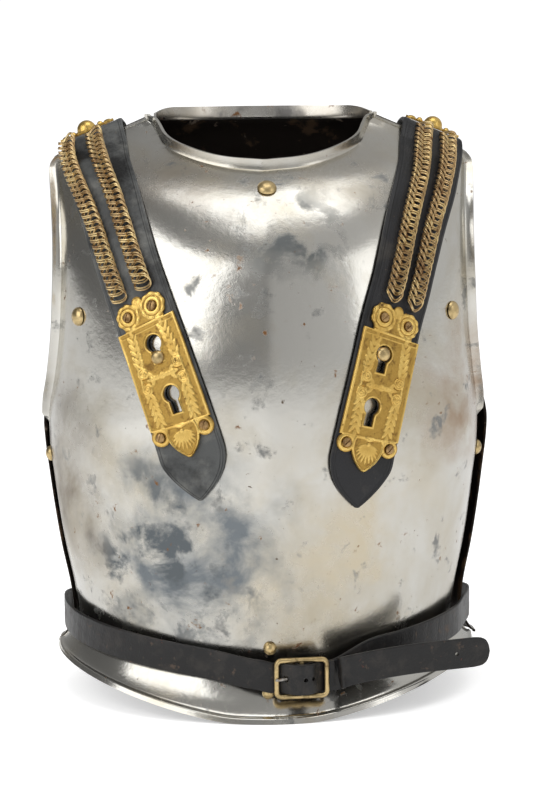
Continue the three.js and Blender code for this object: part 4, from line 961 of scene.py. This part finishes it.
def make_belt(name, points, holes, free_end):
    """A band that stands upright along its path; holes says how far outside its holes a place is."""
    steps = np.sqrt(np.linalg.norm(np.diff(points, axis=0), axis=1))
    knots = np.concatenate([[0], np.cumsum(steps)])
    path = hermite(points, knots, np.linspace(0, knots[-1], 2400))
    run = lengths_along(path)
    along = (path - buckle_centre) @ ALONG_WAY
    half, end = BELT["width"] / 2, BELT["end_length"]
    rows = np.unique(np.concatenate([np.linspace(0, run[-1], 420), run[-1] - np.linspace(0, 14, 30)]))
    parts = np.concatenate([[-1, -0.975, -0.94], np.linspace(-0.9, 0.9, 33), [0.94, 0.975, 1]])
    to_end = np.clip((rows - run[-1] + end) / end, 0, 1) if free_end else 0 * rows
    half_at = half * (1 - to_end**4) ** 0.5 * 0.9 + half * 0.1 * (1 - to_end)
    half_at = np.maximum(half_at, 1.2)
    x, y = rows[:, None] + 0 * parts, parts * half_at[:, None]
    x, y, keep = trim(x, y, lambda px, py: -holes(px, py, run, along, path))
    centre = columns_at(x, run, path)
    tangent = unit(columns_at(x, run, np.gradient(path, axis=0)))
    height = unit(UPRIGHT - tangent * tangent[..., 2:])
    outward = np.cross(tangent, height)
    edge = half_at[:, None] - np.abs(y)
    crease = -0.14 * ridge(edge - 2.2, 0.35) - 0.6 * np.exp(-edge / 0.4)
    cracks = 0.12 * ridge(np.sin(x / 4.6 + 0.05 * y), 0.12)
    worn = 0.09 * np.sin(x / 5.3 + y / 3.0) * np.sin(x / 2.7 - y / 4.1) - cracks
    spot, face = centre - height * y[..., None], BELT["thick"] / 2 - BELT["inset"]
    outer = spot + outward * (face + crease + worn * (edge > 0.5))[..., None]
    inner = spot - outward * (face + 0.7 * crease)[..., None]
    verts, faces = sheet_mesh(outer, inner, keep)
    new_object(verts, faces, name, belt_leather)


def round_holes(places):
    """Distance outside the nearest of several round holes."""
    def distance(x, y, run, along, path):
        near = 0 * x + 50
        for place, radius in places:
            k = np.argmin(np.linalg.norm(path - place, axis=1))
            near = np.minimum(near, np.hypot(x - run[k], y + (place[2] - path[k, 2])) - radius)
        return near
    return distance


def bar_slot(x, y, run, along, path):
    """The slot in the short belt's bend, which the tongue's eye stands in."""
    from_bar = np.abs(np.interp(x, run, along)) - BAR_SLOT["half_length"]
    return np.maximum(from_bar, np.abs(y) - BAR_SLOT["half_width"]) + 100 * (x > BAR_SLOT["only_before"])


def make_belts():
    front = waist_place([-0.9, -0.76, -0.6, -0.45, -0.32, -0.2], breast)
    through = in_buckle(LONG_BELT_IN_BUCKLE)
    through[[0, 1, 2, -1], 2] += (3.8, 2.4, 0.5, 0.8)
    points = np.concatenate([waist_place([-0.72, -0.86], back), [[-161, 6, 58]], front, through, FREE_END])
    tongue_hole = in_buckle(((TONGUE_HOLE["along"], TONGUE_HOLE["out"]),))[0]
    holes = [(place, BELT["hole"]) for place in (*in_buckle(((1.5, 6), (9.5, 6))), np.array(FREE_END_HOLE))]
    make_belt("belt_long", points, round_holes(holes + [(tongue_hole, TONGUE_HOLE["radius"])]), True)
    front = waist_place([0.33, 0.45, 0.6, 0.76, 0.9], breast)
    on_back = waist_place([0.86, 0.72], back)
    points = np.concatenate([in_buckle(SHORT_BELT_LOOP), front, [[165, 8, 58.5]], on_back])
    make_belt("belt_short", points, bar_slot, False)


def bent_rod(points, radii, closed=False, sides=16):
    """Vertices and faces of a rod in the buckle's own axes: along the belt, up and out."""
    points = np.asarray(points, float)
    if closed:
        way = unit(np.roll(points, -1, axis=0) - np.roll(points, 1, axis=0))
    else:
        way = unit(np.gradient(points, axis=0))
    out = UPRIGHT + 0 * points
    first = unit(out - way * (out * way).sum(-1, keepdims=True))
    second = np.cross(way, first)
    flat = np.broadcast_to(np.asarray(radii, float), (len(points), 2))
    return rings_mesh(points[None], (first * flat[:, :1])[None], (second * flat[:, 1:])[None], sides, closed)


def gather(parts):
    """Several meshes as one."""
    verts, faces, count = [], [], 0
    for v, f in parts:
        verts.append(v)
        faces += [tuple(int(i) + count for i in face) for face in f]
        count += len(v)
    return np.concatenate(verts), faces


def make_buckle():
    bar, corner = BUCKLE["bar"], BUCKLE["corner"]
    across, up = BUCKLE["width"] / 2 - bar, BUCKLE["height"] / 2 - bar
    loop = []
    for k, (sx, sy) in enumerate(((1, 1), (-1, 1), (-1, -1), (1, -1))):
        for a in radians(np.linspace(0, 90, 9) + 90 * k):
            x, y = sx * (across - corner) + corner * math.cos(a), sy * (up - corner) + corner * math.sin(a)
            loop.append((x, y, 0))
    middle_bar = bent_rod([(0, y, 0) for y in np.linspace(-up, up, 24)], BUCKLE["middle_bar"])
    verts, faces = gather([bent_rod(loop, bar - 0.02, True), middle_bar])
    place = unit_place(buckle_centre, OUT_WAY, UPRIGHT)
    new_object(place(*verts.T), faces, "buckle_frame", brass)
    eye = np.array([(TONGUE["eye"] * math.cos(a), 0, TONGUE["eye"] * math.sin(a)) for a in circle(40)])
    radial = unit(eye)
    side = np.array([0, 1.0, 0]) + 0 * radial
    eye_mesh = rings_mesh(eye[None], TONGUE["thick"] * radial[None], TONGUE["wide"] * side[None], 14, True)
    tip = -BUCKLE["width"] / 2 + bar - 1.4
    keys = np.array([(-3.6, 0, 0), (-8, 0, 0), (-12.5, 0, 1.3), (-16, 0, 2.8), (tip, 0, bar + GAP + 1.25)])
    knots = lengths_along(keys)
    arm = hermite(keys, knots, np.linspace(0, knots[-1], 40))
    taper = np.linspace(1, TONGUE["taper"], 40)[:, None] * np.array([1.0, TONGUE["flatter"]])
    verts, faces = gather([eye_mesh, bent_rod(arm, taper)])
    new_object(place(*verts.T), faces, "buckle_tongue", tongue_steel)


# ---------------------------------------------------------------- shared shader groups
def set_inputs(tree, node, inputs):
    """Links each input to a socket, or sets it to a value."""
    for key, value in inputs.items():
        if isinstance(value, bpy.types.NodeSocket):
            tree.links.new(value, node.inputs[key])
        else:
            node.inputs[key].default_value = value


def add_node(tree, kind, inputs=None, **settings):
    node = tree.nodes.new(kind)
    for key, value in settings.items():
        setattr(node, key, value)
    set_inputs(tree, node, inputs or {})
    return node


def add_group(tree, group, inputs):
    return add_node(tree, "ShaderNodeGroup", inputs, node_tree=group)


def new_group(name, inputs, outputs):
    group = bpy.data.node_groups.new(name, "ShaderNodeTree")
    for label, kind, value in inputs:
        socket = group.interface.new_socket(name=label, in_out="INPUT", socket_type="NodeSocket" + kind)
        socket.default_value = value
    for label, kind in outputs:
        group.interface.new_socket(name=label, in_out="OUTPUT", socket_type="NodeSocket" + kind)
    return group, group.nodes.new("NodeGroupInput"), group.nodes.new("NodeGroupOutput")


def patch_group():
    """Cloudy patches of a second colour, with its own roughness."""
    group, given, result = new_group(
        "cloudy_patches",
        [("Color", "Color", (0.5, 0.5, 0.5, 1)), ("Patch Color", "Color", (0.2, 0.2, 0.2, 1)),
         ("Roughness", "Float", 0.3), ("Patch Roughness", "Float", 0.5), ("Scale", "Float", 10.0),
         ("Low", "Float", 0.45), ("High", "Float", 0.6), ("Seed", "Float", 0.0), ("Region", "Float", 1.0)],
        [("Color", "Color"), ("Roughness", "Float"), ("Mask", "Float")])
    place = add_node(group, "ShaderNodeTexCoord")
    noise = add_node(group, "ShaderNodeTexNoise", {
        "Vector": place.outputs["Object"], "W": given.outputs["Seed"], "Scale": given.outputs["Scale"],
        "Detail": 9.0, "Roughness": 0.62, "Distortion": 0.35}, noise_dimensions="4D")
    mask = add_node(group, "ShaderNodeMapRange", {
        "Value": noise.outputs["Fac"], "From Min": given.outputs["Low"], "From Max": given.outputs["High"]})
    held = add_node(group, "ShaderNodeMath", {0: mask.outputs["Result"], 1: given.outputs["Region"]},
                    operation="MULTIPLY")
    color = add_node(group, "ShaderNodeMix", {
        0: held.outputs[0], 6: given.outputs["Color"], 7: given.outputs["Patch Color"]}, data_type="RGBA")
    rough = add_node(group, "ShaderNodeMix", {
        0: held.outputs[0], 2: given.outputs["Roughness"], 3: given.outputs["Patch Roughness"]})
    set_inputs(group, result, {
        "Color": color.outputs[2], "Roughness": rough.outputs[0], "Mask": held.outputs[0]})
    return group


def region_group():
    """1 near a place on the face, with a wavy edge, fading to 0 beyond a radius."""
    group, given, result = new_group("round_region", [
        ("Center", "Vector", (0, 0, 0)), ("Radius", "Float", 0.1), ("Softness", "Float", 0.03)],
        [("Mask", "Float")])
    place = add_node(group, "ShaderNodeTexCoord")
    wave = add_node(group, "ShaderNodeTexNoise", {
        "Vector": place.outputs["Object"], "Scale": 22.0, "Detail": 5.0})
    away = add_node(group, "ShaderNodeVectorMath", {0: place.outputs["Object"], 1: given.outputs["Center"]},
                    operation="DISTANCE")
    shift = add_node(group, "ShaderNodeMath", {0: wave.outputs["Fac"], 1: 0.09, 2: away.outputs["Value"]},
                     operation="MULTIPLY_ADD")
    far = add_node(group, "ShaderNodeMath", {0: given.outputs["Radius"], 1: given.outputs["Softness"]},
                   operation="ADD")
    mask = add_node(group, "ShaderNodeMapRange", {
        "Value": shift.outputs[0], "From Min": far.outputs[0], "From Max": given.outputs["Radius"]})
    set_inputs(group, result, {"Mask": mask.outputs["Result"]})
    return group


def crevice_group():
    """1 where the relief that the points carry is low, fading to 0 where it reaches a height: it paints shade into the
    recesses of the gilt and the grooves of the straps, and marks the black paint inside the plates.
    """
    group, given, result = new_group("crevices", [
        ("Under", "Float", 0.6), ("Full Under", "Float", 0.08)], [("Mask", "Float")])
    relief = add_node(group, "ShaderNodeAttribute", attribute_name="relief")
    low = add_node(group, "ShaderNodeMapRange", {
        "Value": relief.outputs["Fac"], "From Min": given.outputs["Under"],
        "From Max": given.outputs["Full Under"]})
    set_inputs(group, result, {"Mask": low.outputs["Result"]})
    return group


def grain_group():
    """Fine unevenness: pits and hammering or the grain of leather."""
    group, given, result = new_group("fine_grain", [
        ("Scale", "Float", 400.0), ("Fine", "Float", 0.5), ("Cells", "Float", 0.0)], [("Height", "Float")])
    place = add_node(group, "ShaderNodeTexCoord")
    noise = add_node(group, "ShaderNodeTexNoise", {
        "Vector": place.outputs["Object"], "Scale": given.outputs["Scale"], "Detail": 6.0,
        "Roughness": given.outputs["Fine"]})
    cells = add_node(group, "ShaderNodeTexVoronoi", {
        "Vector": place.outputs["Object"], "Scale": given.outputs["Scale"]}, feature="DISTANCE_TO_EDGE")
    both = add_node(group, "ShaderNodeMix", {
        0: given.outputs["Cells"], 2: noise.outputs["Fac"], 3: cells.outputs["Distance"]})
    set_inputs(group, result, {"Height": both.outputs[0]})
    return group


PATCHES, REGION, CREVICES, GRAIN = patch_group(), region_group(), crevice_group(), grain_group()
GRAIN_DEPTH = 0.0006


def finish(name, color, roughness, metallic, patches, grain, coat=0.0, specular=0.5):
    """A material whose colour and roughness pass through rows of patches, with a fine grain."""
    mat = bpy.data.materials.new(name)
    mat.use_nodes = True
    tree = mat.node_tree
    color = (*color, 1)
    for number, row in enumerate(patches):
        inputs = {"Color": color, "Roughness": roughness, "Patch Color": (*row["color"], 1),
                  "Patch Roughness": row["rough"], "Scale": row["scale"], "Low": row["low"],
                  "High": row["high"], "Seed": number * 3.7 + 0.5}
        if "center" in row:
            region = {"Center": tuple(row["center"]), "Radius": row["radius"], "Softness": row["soft"]}
            inputs["Region"] = add_group(tree, REGION, region).outputs["Mask"]
        if "under" in row:
            inputs["Region"] = add_group(tree, CREVICES, {"Under": row["under"]}).outputs["Mask"]
        layer = add_group(tree, PATCHES, inputs)
        color, roughness = layer.outputs["Color"], layer.outputs["Roughness"]
    height = add_group(tree, GRAIN, {"Scale": grain["scale"], "Fine": grain["fine"], "Cells": grain["cells"]})
    raised = add_node(tree, "ShaderNodeBump", {
        "Height": height.outputs["Height"], "Strength": grain["strength"], "Distance": GRAIN_DEPTH})
    set_inputs(tree, tree.nodes["Principled BSDF"], {
        "Base Color": color, "Roughness": roughness, "Metallic": metallic, "Coat Weight": coat,
        "Specular IOR Level": specular, "Normal": raised.outputs["Normal"]})
    return mat


def grain(scale, fine, cells, strength):
    return dict(scale=scale, fine=fine, cells=cells, strength=strength)


def patch(color, rough, scale, low, high, **more):
    return dict(color=color, rough=rough, scale=scale, low=low, high=high, **more)


def at_front(x, z):
    """A place on the breastplate's face, in metres."""
    return (face_at(breast, x, z)[0] + SHIFT) * MM


ALL_OVER = dict(low=-2, high=-1)
BRASS_GRAIN = grain(900.0, 0.6, 0.0, 0.25)
DULL_GRAIN = grain(900.0, 0.6, 0.0, 0.3)
BLACKENED = [
    patch((0.035, 0.028, 0.024), 0.55, 20, **ALL_OVER, under=0.6),
    patch((0.13, 0.085, 0.055), 0.7, 30, 0.55, 0.6, under=0.6),
    patch((0.30, 0.24, 0.19), 0.6, 60, 0.62, 0.66, under=0.6)]
steel = finish("worn_steel_and_painted_reflections", (0.63, 0.615, 0.57), 0.17, 1, [
    patch((0.52, 0.47, 0.37), 0.3, 9, 0.46, 0.66),
    patch((0.60, 0.53, 0.40), 0.3, 16, 0.46, 0.66, center=at_front(60, 120), radius=0.08, soft=0.09),
    # painted dark reflection: the next two blue-grey patches on the lower left paint in the dark that the polished
    # steel reflects there
    patch((0.19, 0.21, 0.225), 0.4, 15, 0.40, 0.6, center=at_front(-62, 130), radius=0.085, soft=0.06),
    patch((0.13, 0.145, 0.155), 0.45, 28, 0.5, 0.6, center=at_front(-75, 120), radius=0.09, soft=0.05),
    # painted dark reflection: a grey patch on the upper chest, below the neck
    patch((0.17, 0.18, 0.18), 0.45, 30, 0.52, 0.6, center=at_front(15, 372), radius=0.06, soft=0.04),
    patch((0.36, 0.31, 0.25), 0.34, 11, 0.36, 0.58, center=at_front(-72, 405), radius=0.045, soft=0.06),
    patch((0.42, 0.38, 0.31), 0.34, 11, 0.36, 0.58, center=at_front(72, 400), radius=0.045, soft=0.06),
    patch((0.40, 0.29, 0.20), 0.4, 16, 0.42, 0.62, center=at_front(160, 235), radius=0.07, soft=0.06),
    patch((0.19, 0.15, 0.105), 0.45, 12, 0.32, 0.6, center=at_front(-162, 175), radius=0.07, soft=0.06),
    patch((0.26, 0.26, 0.25), 0.42, 42, 0.59, 0.67),
    patch((0.30, 0.15, 0.06), 0.6, 70, 0.61, 0.68, center=at_front(-25, 335), radius=0.06, soft=0.04),
    patch((0.25, 0.13, 0.06), 0.6, 95, 0.64, 0.7),
    patch((0.12, 0.08, 0.05), 0.6, 200, 0.66, 0.72)] + BLACKENED, grain(140.0, 0.6, 0.0, 0.2))
dark_steel = finish("backplate_steel", (0.60, 0.585, 0.55), 0.22, 1, [
    patch((0.44, 0.39, 0.31), 0.34, 10, 0.44, 0.64),
    patch((0.22, 0.21, 0.20), 0.42, 24, 0.52, 0.64),
    patch((0.26, 0.14, 0.07), 0.6, 80, 0.61, 0.68)] + BLACKENED, grain(150.0, 0.6, 0.0, 0.25))
gilt = finish("gilt_brass", (0.80, 0.55, 0.165), 0.27, 1, [
    patch((0.62, 0.39, 0.10), 0.36, 60, 0.45, 0.65),
    # painted shade: the next two rows darken the gilt where the relief is low, in the recesses and on the ground
    # between the ornament
    patch((0.46, 0.285, 0.07), 0.5, 60, **ALL_OVER, under=0.6),
    patch((0.24, 0.135, 0.04), 0.6, 160, 0.52, 0.66, under=0.4),
    patch((0.16, 0.09, 0.03), 0.55, 150, 0.6, 0.7)], BRASS_GRAIN)
chain_brass = finish("brown_brass", (0.55, 0.385, 0.195), 0.33, 1, [
    patch((0.78, 0.60, 0.30), 0.28, 60, 0.46, 0.6),
    patch((0.24, 0.13, 0.06), 0.5, 110, 0.52, 0.66)], BRASS_GRAIN)
screw_brass = finish("screw_brass", (0.42, 0.27, 0.12), 0.36, 1, [
    patch((0.16, 0.09, 0.04), 0.5, 220, 0.48, 0.62)], DULL_GRAIN)
brass = finish("worn_brass", (0.66, 0.50, 0.25), 0.28, 1, [
    patch((0.40, 0.30, 0.15), 0.4, 120, 0.46, 0.62),
    patch((0.16, 0.10, 0.05), 0.55, 240, 0.6, 0.68)], BRASS_GRAIN)
tongue_steel = finish("grey_steel", (0.45, 0.43, 0.40), 0.36, 1, [
    patch((0.24, 0.18, 0.12), 0.5, 240, 0.5, 0.62)], DULL_GRAIN)


def leather_finish(name, color, dull):
    return finish(name, color, 0.46, 0, [
        patch(dull, 0.6, 45, 0.5, 0.66),
        patch((0.008, 0.008, 0.008), 0.4, 25, 0.46, 0.62),
        # painted shade: near black in the strap's grooves, where the relief is low
        patch((0.003, 0.003, 0.003), 0.6, 20, **ALL_OVER, under=0.75),
        patch((0.10, 0.07, 0.045), 0.7, 190, 0.66, 0.72)],
        grain(520.0, 0.55, 0.45, 0.75), coat=0.06, specular=0.35)


strap_leathers = dict(
    left=leather_finish("strap_leather_grey", (0.070, 0.073, 0.072), (0.14, 0.14, 0.13)),
    right=leather_finish("strap_leather_black", (0.014, 0.014, 0.016), (0.04, 0.036, 0.032)))
belt_leather = finish("belt_leather", (0.010, 0.0095, 0.0095), 0.38, 0, [
    patch((0.03, 0.026, 0.023), 0.55, 60, 0.5, 0.66),
    patch((0.075, 0.05, 0.035), 0.6, 120, 0.6, 0.68),
    patch((0.34, 0.32, 0.28), 0.7, 150, 0.56, 0.62, center=at_front(84, 42), radius=0.02, soft=0.02),
    patch((0.26, 0.06, 0.03), 0.7, 160, 0.67, 0.71)], grain(420.0, 0.55, 0.5, 0.8), coat=0.08, specular=0.35)


# ---------------------------------------------------------------- the pieces

make_plate("breastplate", breast, steel)
make_plate("backplate", back, dark_steel)
make_studs()
for side_name, strap in STRAPS.items():
    make_leather("strap_leather_" + side_name, strap)
    make_keyhole_plate("keyhole_plate_" + side_name, strap)
    for place, (across, down) in SCREW_PLACES.items():
        make_screw("plate_screw_" + side_name + "_" + place, strap, across, down)
    profile = domed_profile(STRAP_STUD["radius"], STRAP_STUD["height"], PLATE_TOP + GAP)
    make_stud("strap_stud_" + side_name, *strap_face(strap, *strap["stud"]), profile)
    for place in ("inner", "outer"):
        make_chain("chain_" + side_name + "_" + place, strap, place)
    make_boss("shoulder_boss_" + side_name, strap)
make_belts()
make_buckle()


# ---------------------------------------------------------------- stage, light and camera
FLOOR = dict(size=40, color=(0.95, 0.95, 0.95, 1), roughness=0.9, glow=0.42)
STUDIO = dict(seen=1.05, on_matt=0.8, left=-0.7, right=0.75, at_left=0.13, at_right=0.62)
LIGHTS = dict(  # place, what it is turned to, width and height, power
    key=((-1.85, -1.33, 1.4), (0, 0, 0.3), (2.2, 2.0), 27),
    fill=((2.0, -1.5, 1.5), (0, 0, 0.3), (0.8, 1.5), 4),
    top=((0.1, -0.3, 2.4), (0, 0, 0.2), (1.6, 1.2), 10))
CAMERA = dict(azimuth=-2, elevation=8, roll=0.55, distance=2.2, lens=123.75, target=(2.5, 0, 226))


def make_stage():
    """A white floor that glows a little where it is seen, in a white studio that is darker on the left."""
    bpy.ops.mesh.primitive_plane_add(size=FLOOR["size"], location=(0, 0, 0))
    floor = bpy.context.object
    floor.name = "floor"
    paper = bpy.data.materials.new("white_paper")
    paper.use_nodes = True
    tree = paper.node_tree
    rays = add_node(tree, "ShaderNodeLightPath")
    glow = add_node(tree, "ShaderNodeMath", {0: rays.outputs["Is Camera Ray"], 1: FLOOR["glow"]},
                    operation="MULTIPLY")
    set_inputs(tree, tree.nodes["Principled BSDF"], {
        "Base Color": FLOOR["color"], "Roughness": FLOOR["roughness"], "Emission Color": (1, 1, 1, 1),
        "Emission Strength": glow.outputs[0]})
    floor.data.materials.append(paper)
    world = bpy.data.worlds.new("studio")
    bpy.context.scene.world = world
    world.use_nodes = True
    tree = world.node_tree
    rays = add_node(tree, "ShaderNodeLightPath")
    place = add_node(tree, "ShaderNodeTexCoord")
    parts = add_node(tree, "ShaderNodeSeparateXYZ", {0: place.outputs["Generated"]})
    mirrored = add_node(tree, "ShaderNodeMapRange", {
        "Value": parts.outputs["X"], "From Min": STUDIO["left"], "From Max": STUDIO["right"],
        "To Min": STUDIO["at_left"], "To Max": STUDIO["at_right"]})
    strength = add_node(tree, "ShaderNodeMix", {
        0: rays.outputs["Is Glossy Ray"], 2: STUDIO["on_matt"], 3: mirrored.outputs["Result"]})
    shown = add_node(tree, "ShaderNodeMix", {
        0: rays.outputs["Is Camera Ray"], 2: strength.outputs[0], 3: STUDIO["seen"]})
    set_inputs(tree, tree.nodes["Background"], {"Color": (1, 1, 1, 1), "Strength": shown.outputs[0]})


def make_lights():
    for name, (place, target, size, power) in LIGHTS.items():
        data = bpy.data.lights.new(name, "AREA")
        data.shape, data.size, data.size_y, data.energy = "RECTANGLE", size[0], size[1], power
        light = bpy.data.objects.new(name, data)
        bpy.context.scene.collection.objects.link(light)
        light.location = place
        light.rotation_euler = (Vector(target) - Vector(place)).to_track_quat("-Z", "Y").to_euler()


def make_camera():
    azimuth, elevation, roll = (radians(CAMERA[key]) for key in ("azimuth", "elevation", "roll"))
    target = (np.array(CAMERA["target"]) + SHIFT) * MM
    level = math.cos(elevation)
    away = np.array([math.sin(azimuth) * level, -math.cos(azimuth) * level, math.sin(elevation)])
    data = bpy.data.cameras.new("camera")
    data.lens = CAMERA["lens"]
    camera = bpy.data.objects.new("camera", data)
    bpy.context.scene.collection.objects.link(camera)
    turn = Vector(-away).to_track_quat("-Z", "Y").to_matrix().to_4x4()
    place = Matrix.Translation(target + away * CAMERA["distance"])
    camera.matrix_world = place @ turn @ Matrix.Rotation(-roll, 4, "Z")
    bpy.context.scene.camera = camera


make_stage()
make_lights()
make_camera()
bpy.context.scene.view_settings.view_transform = "Standard"
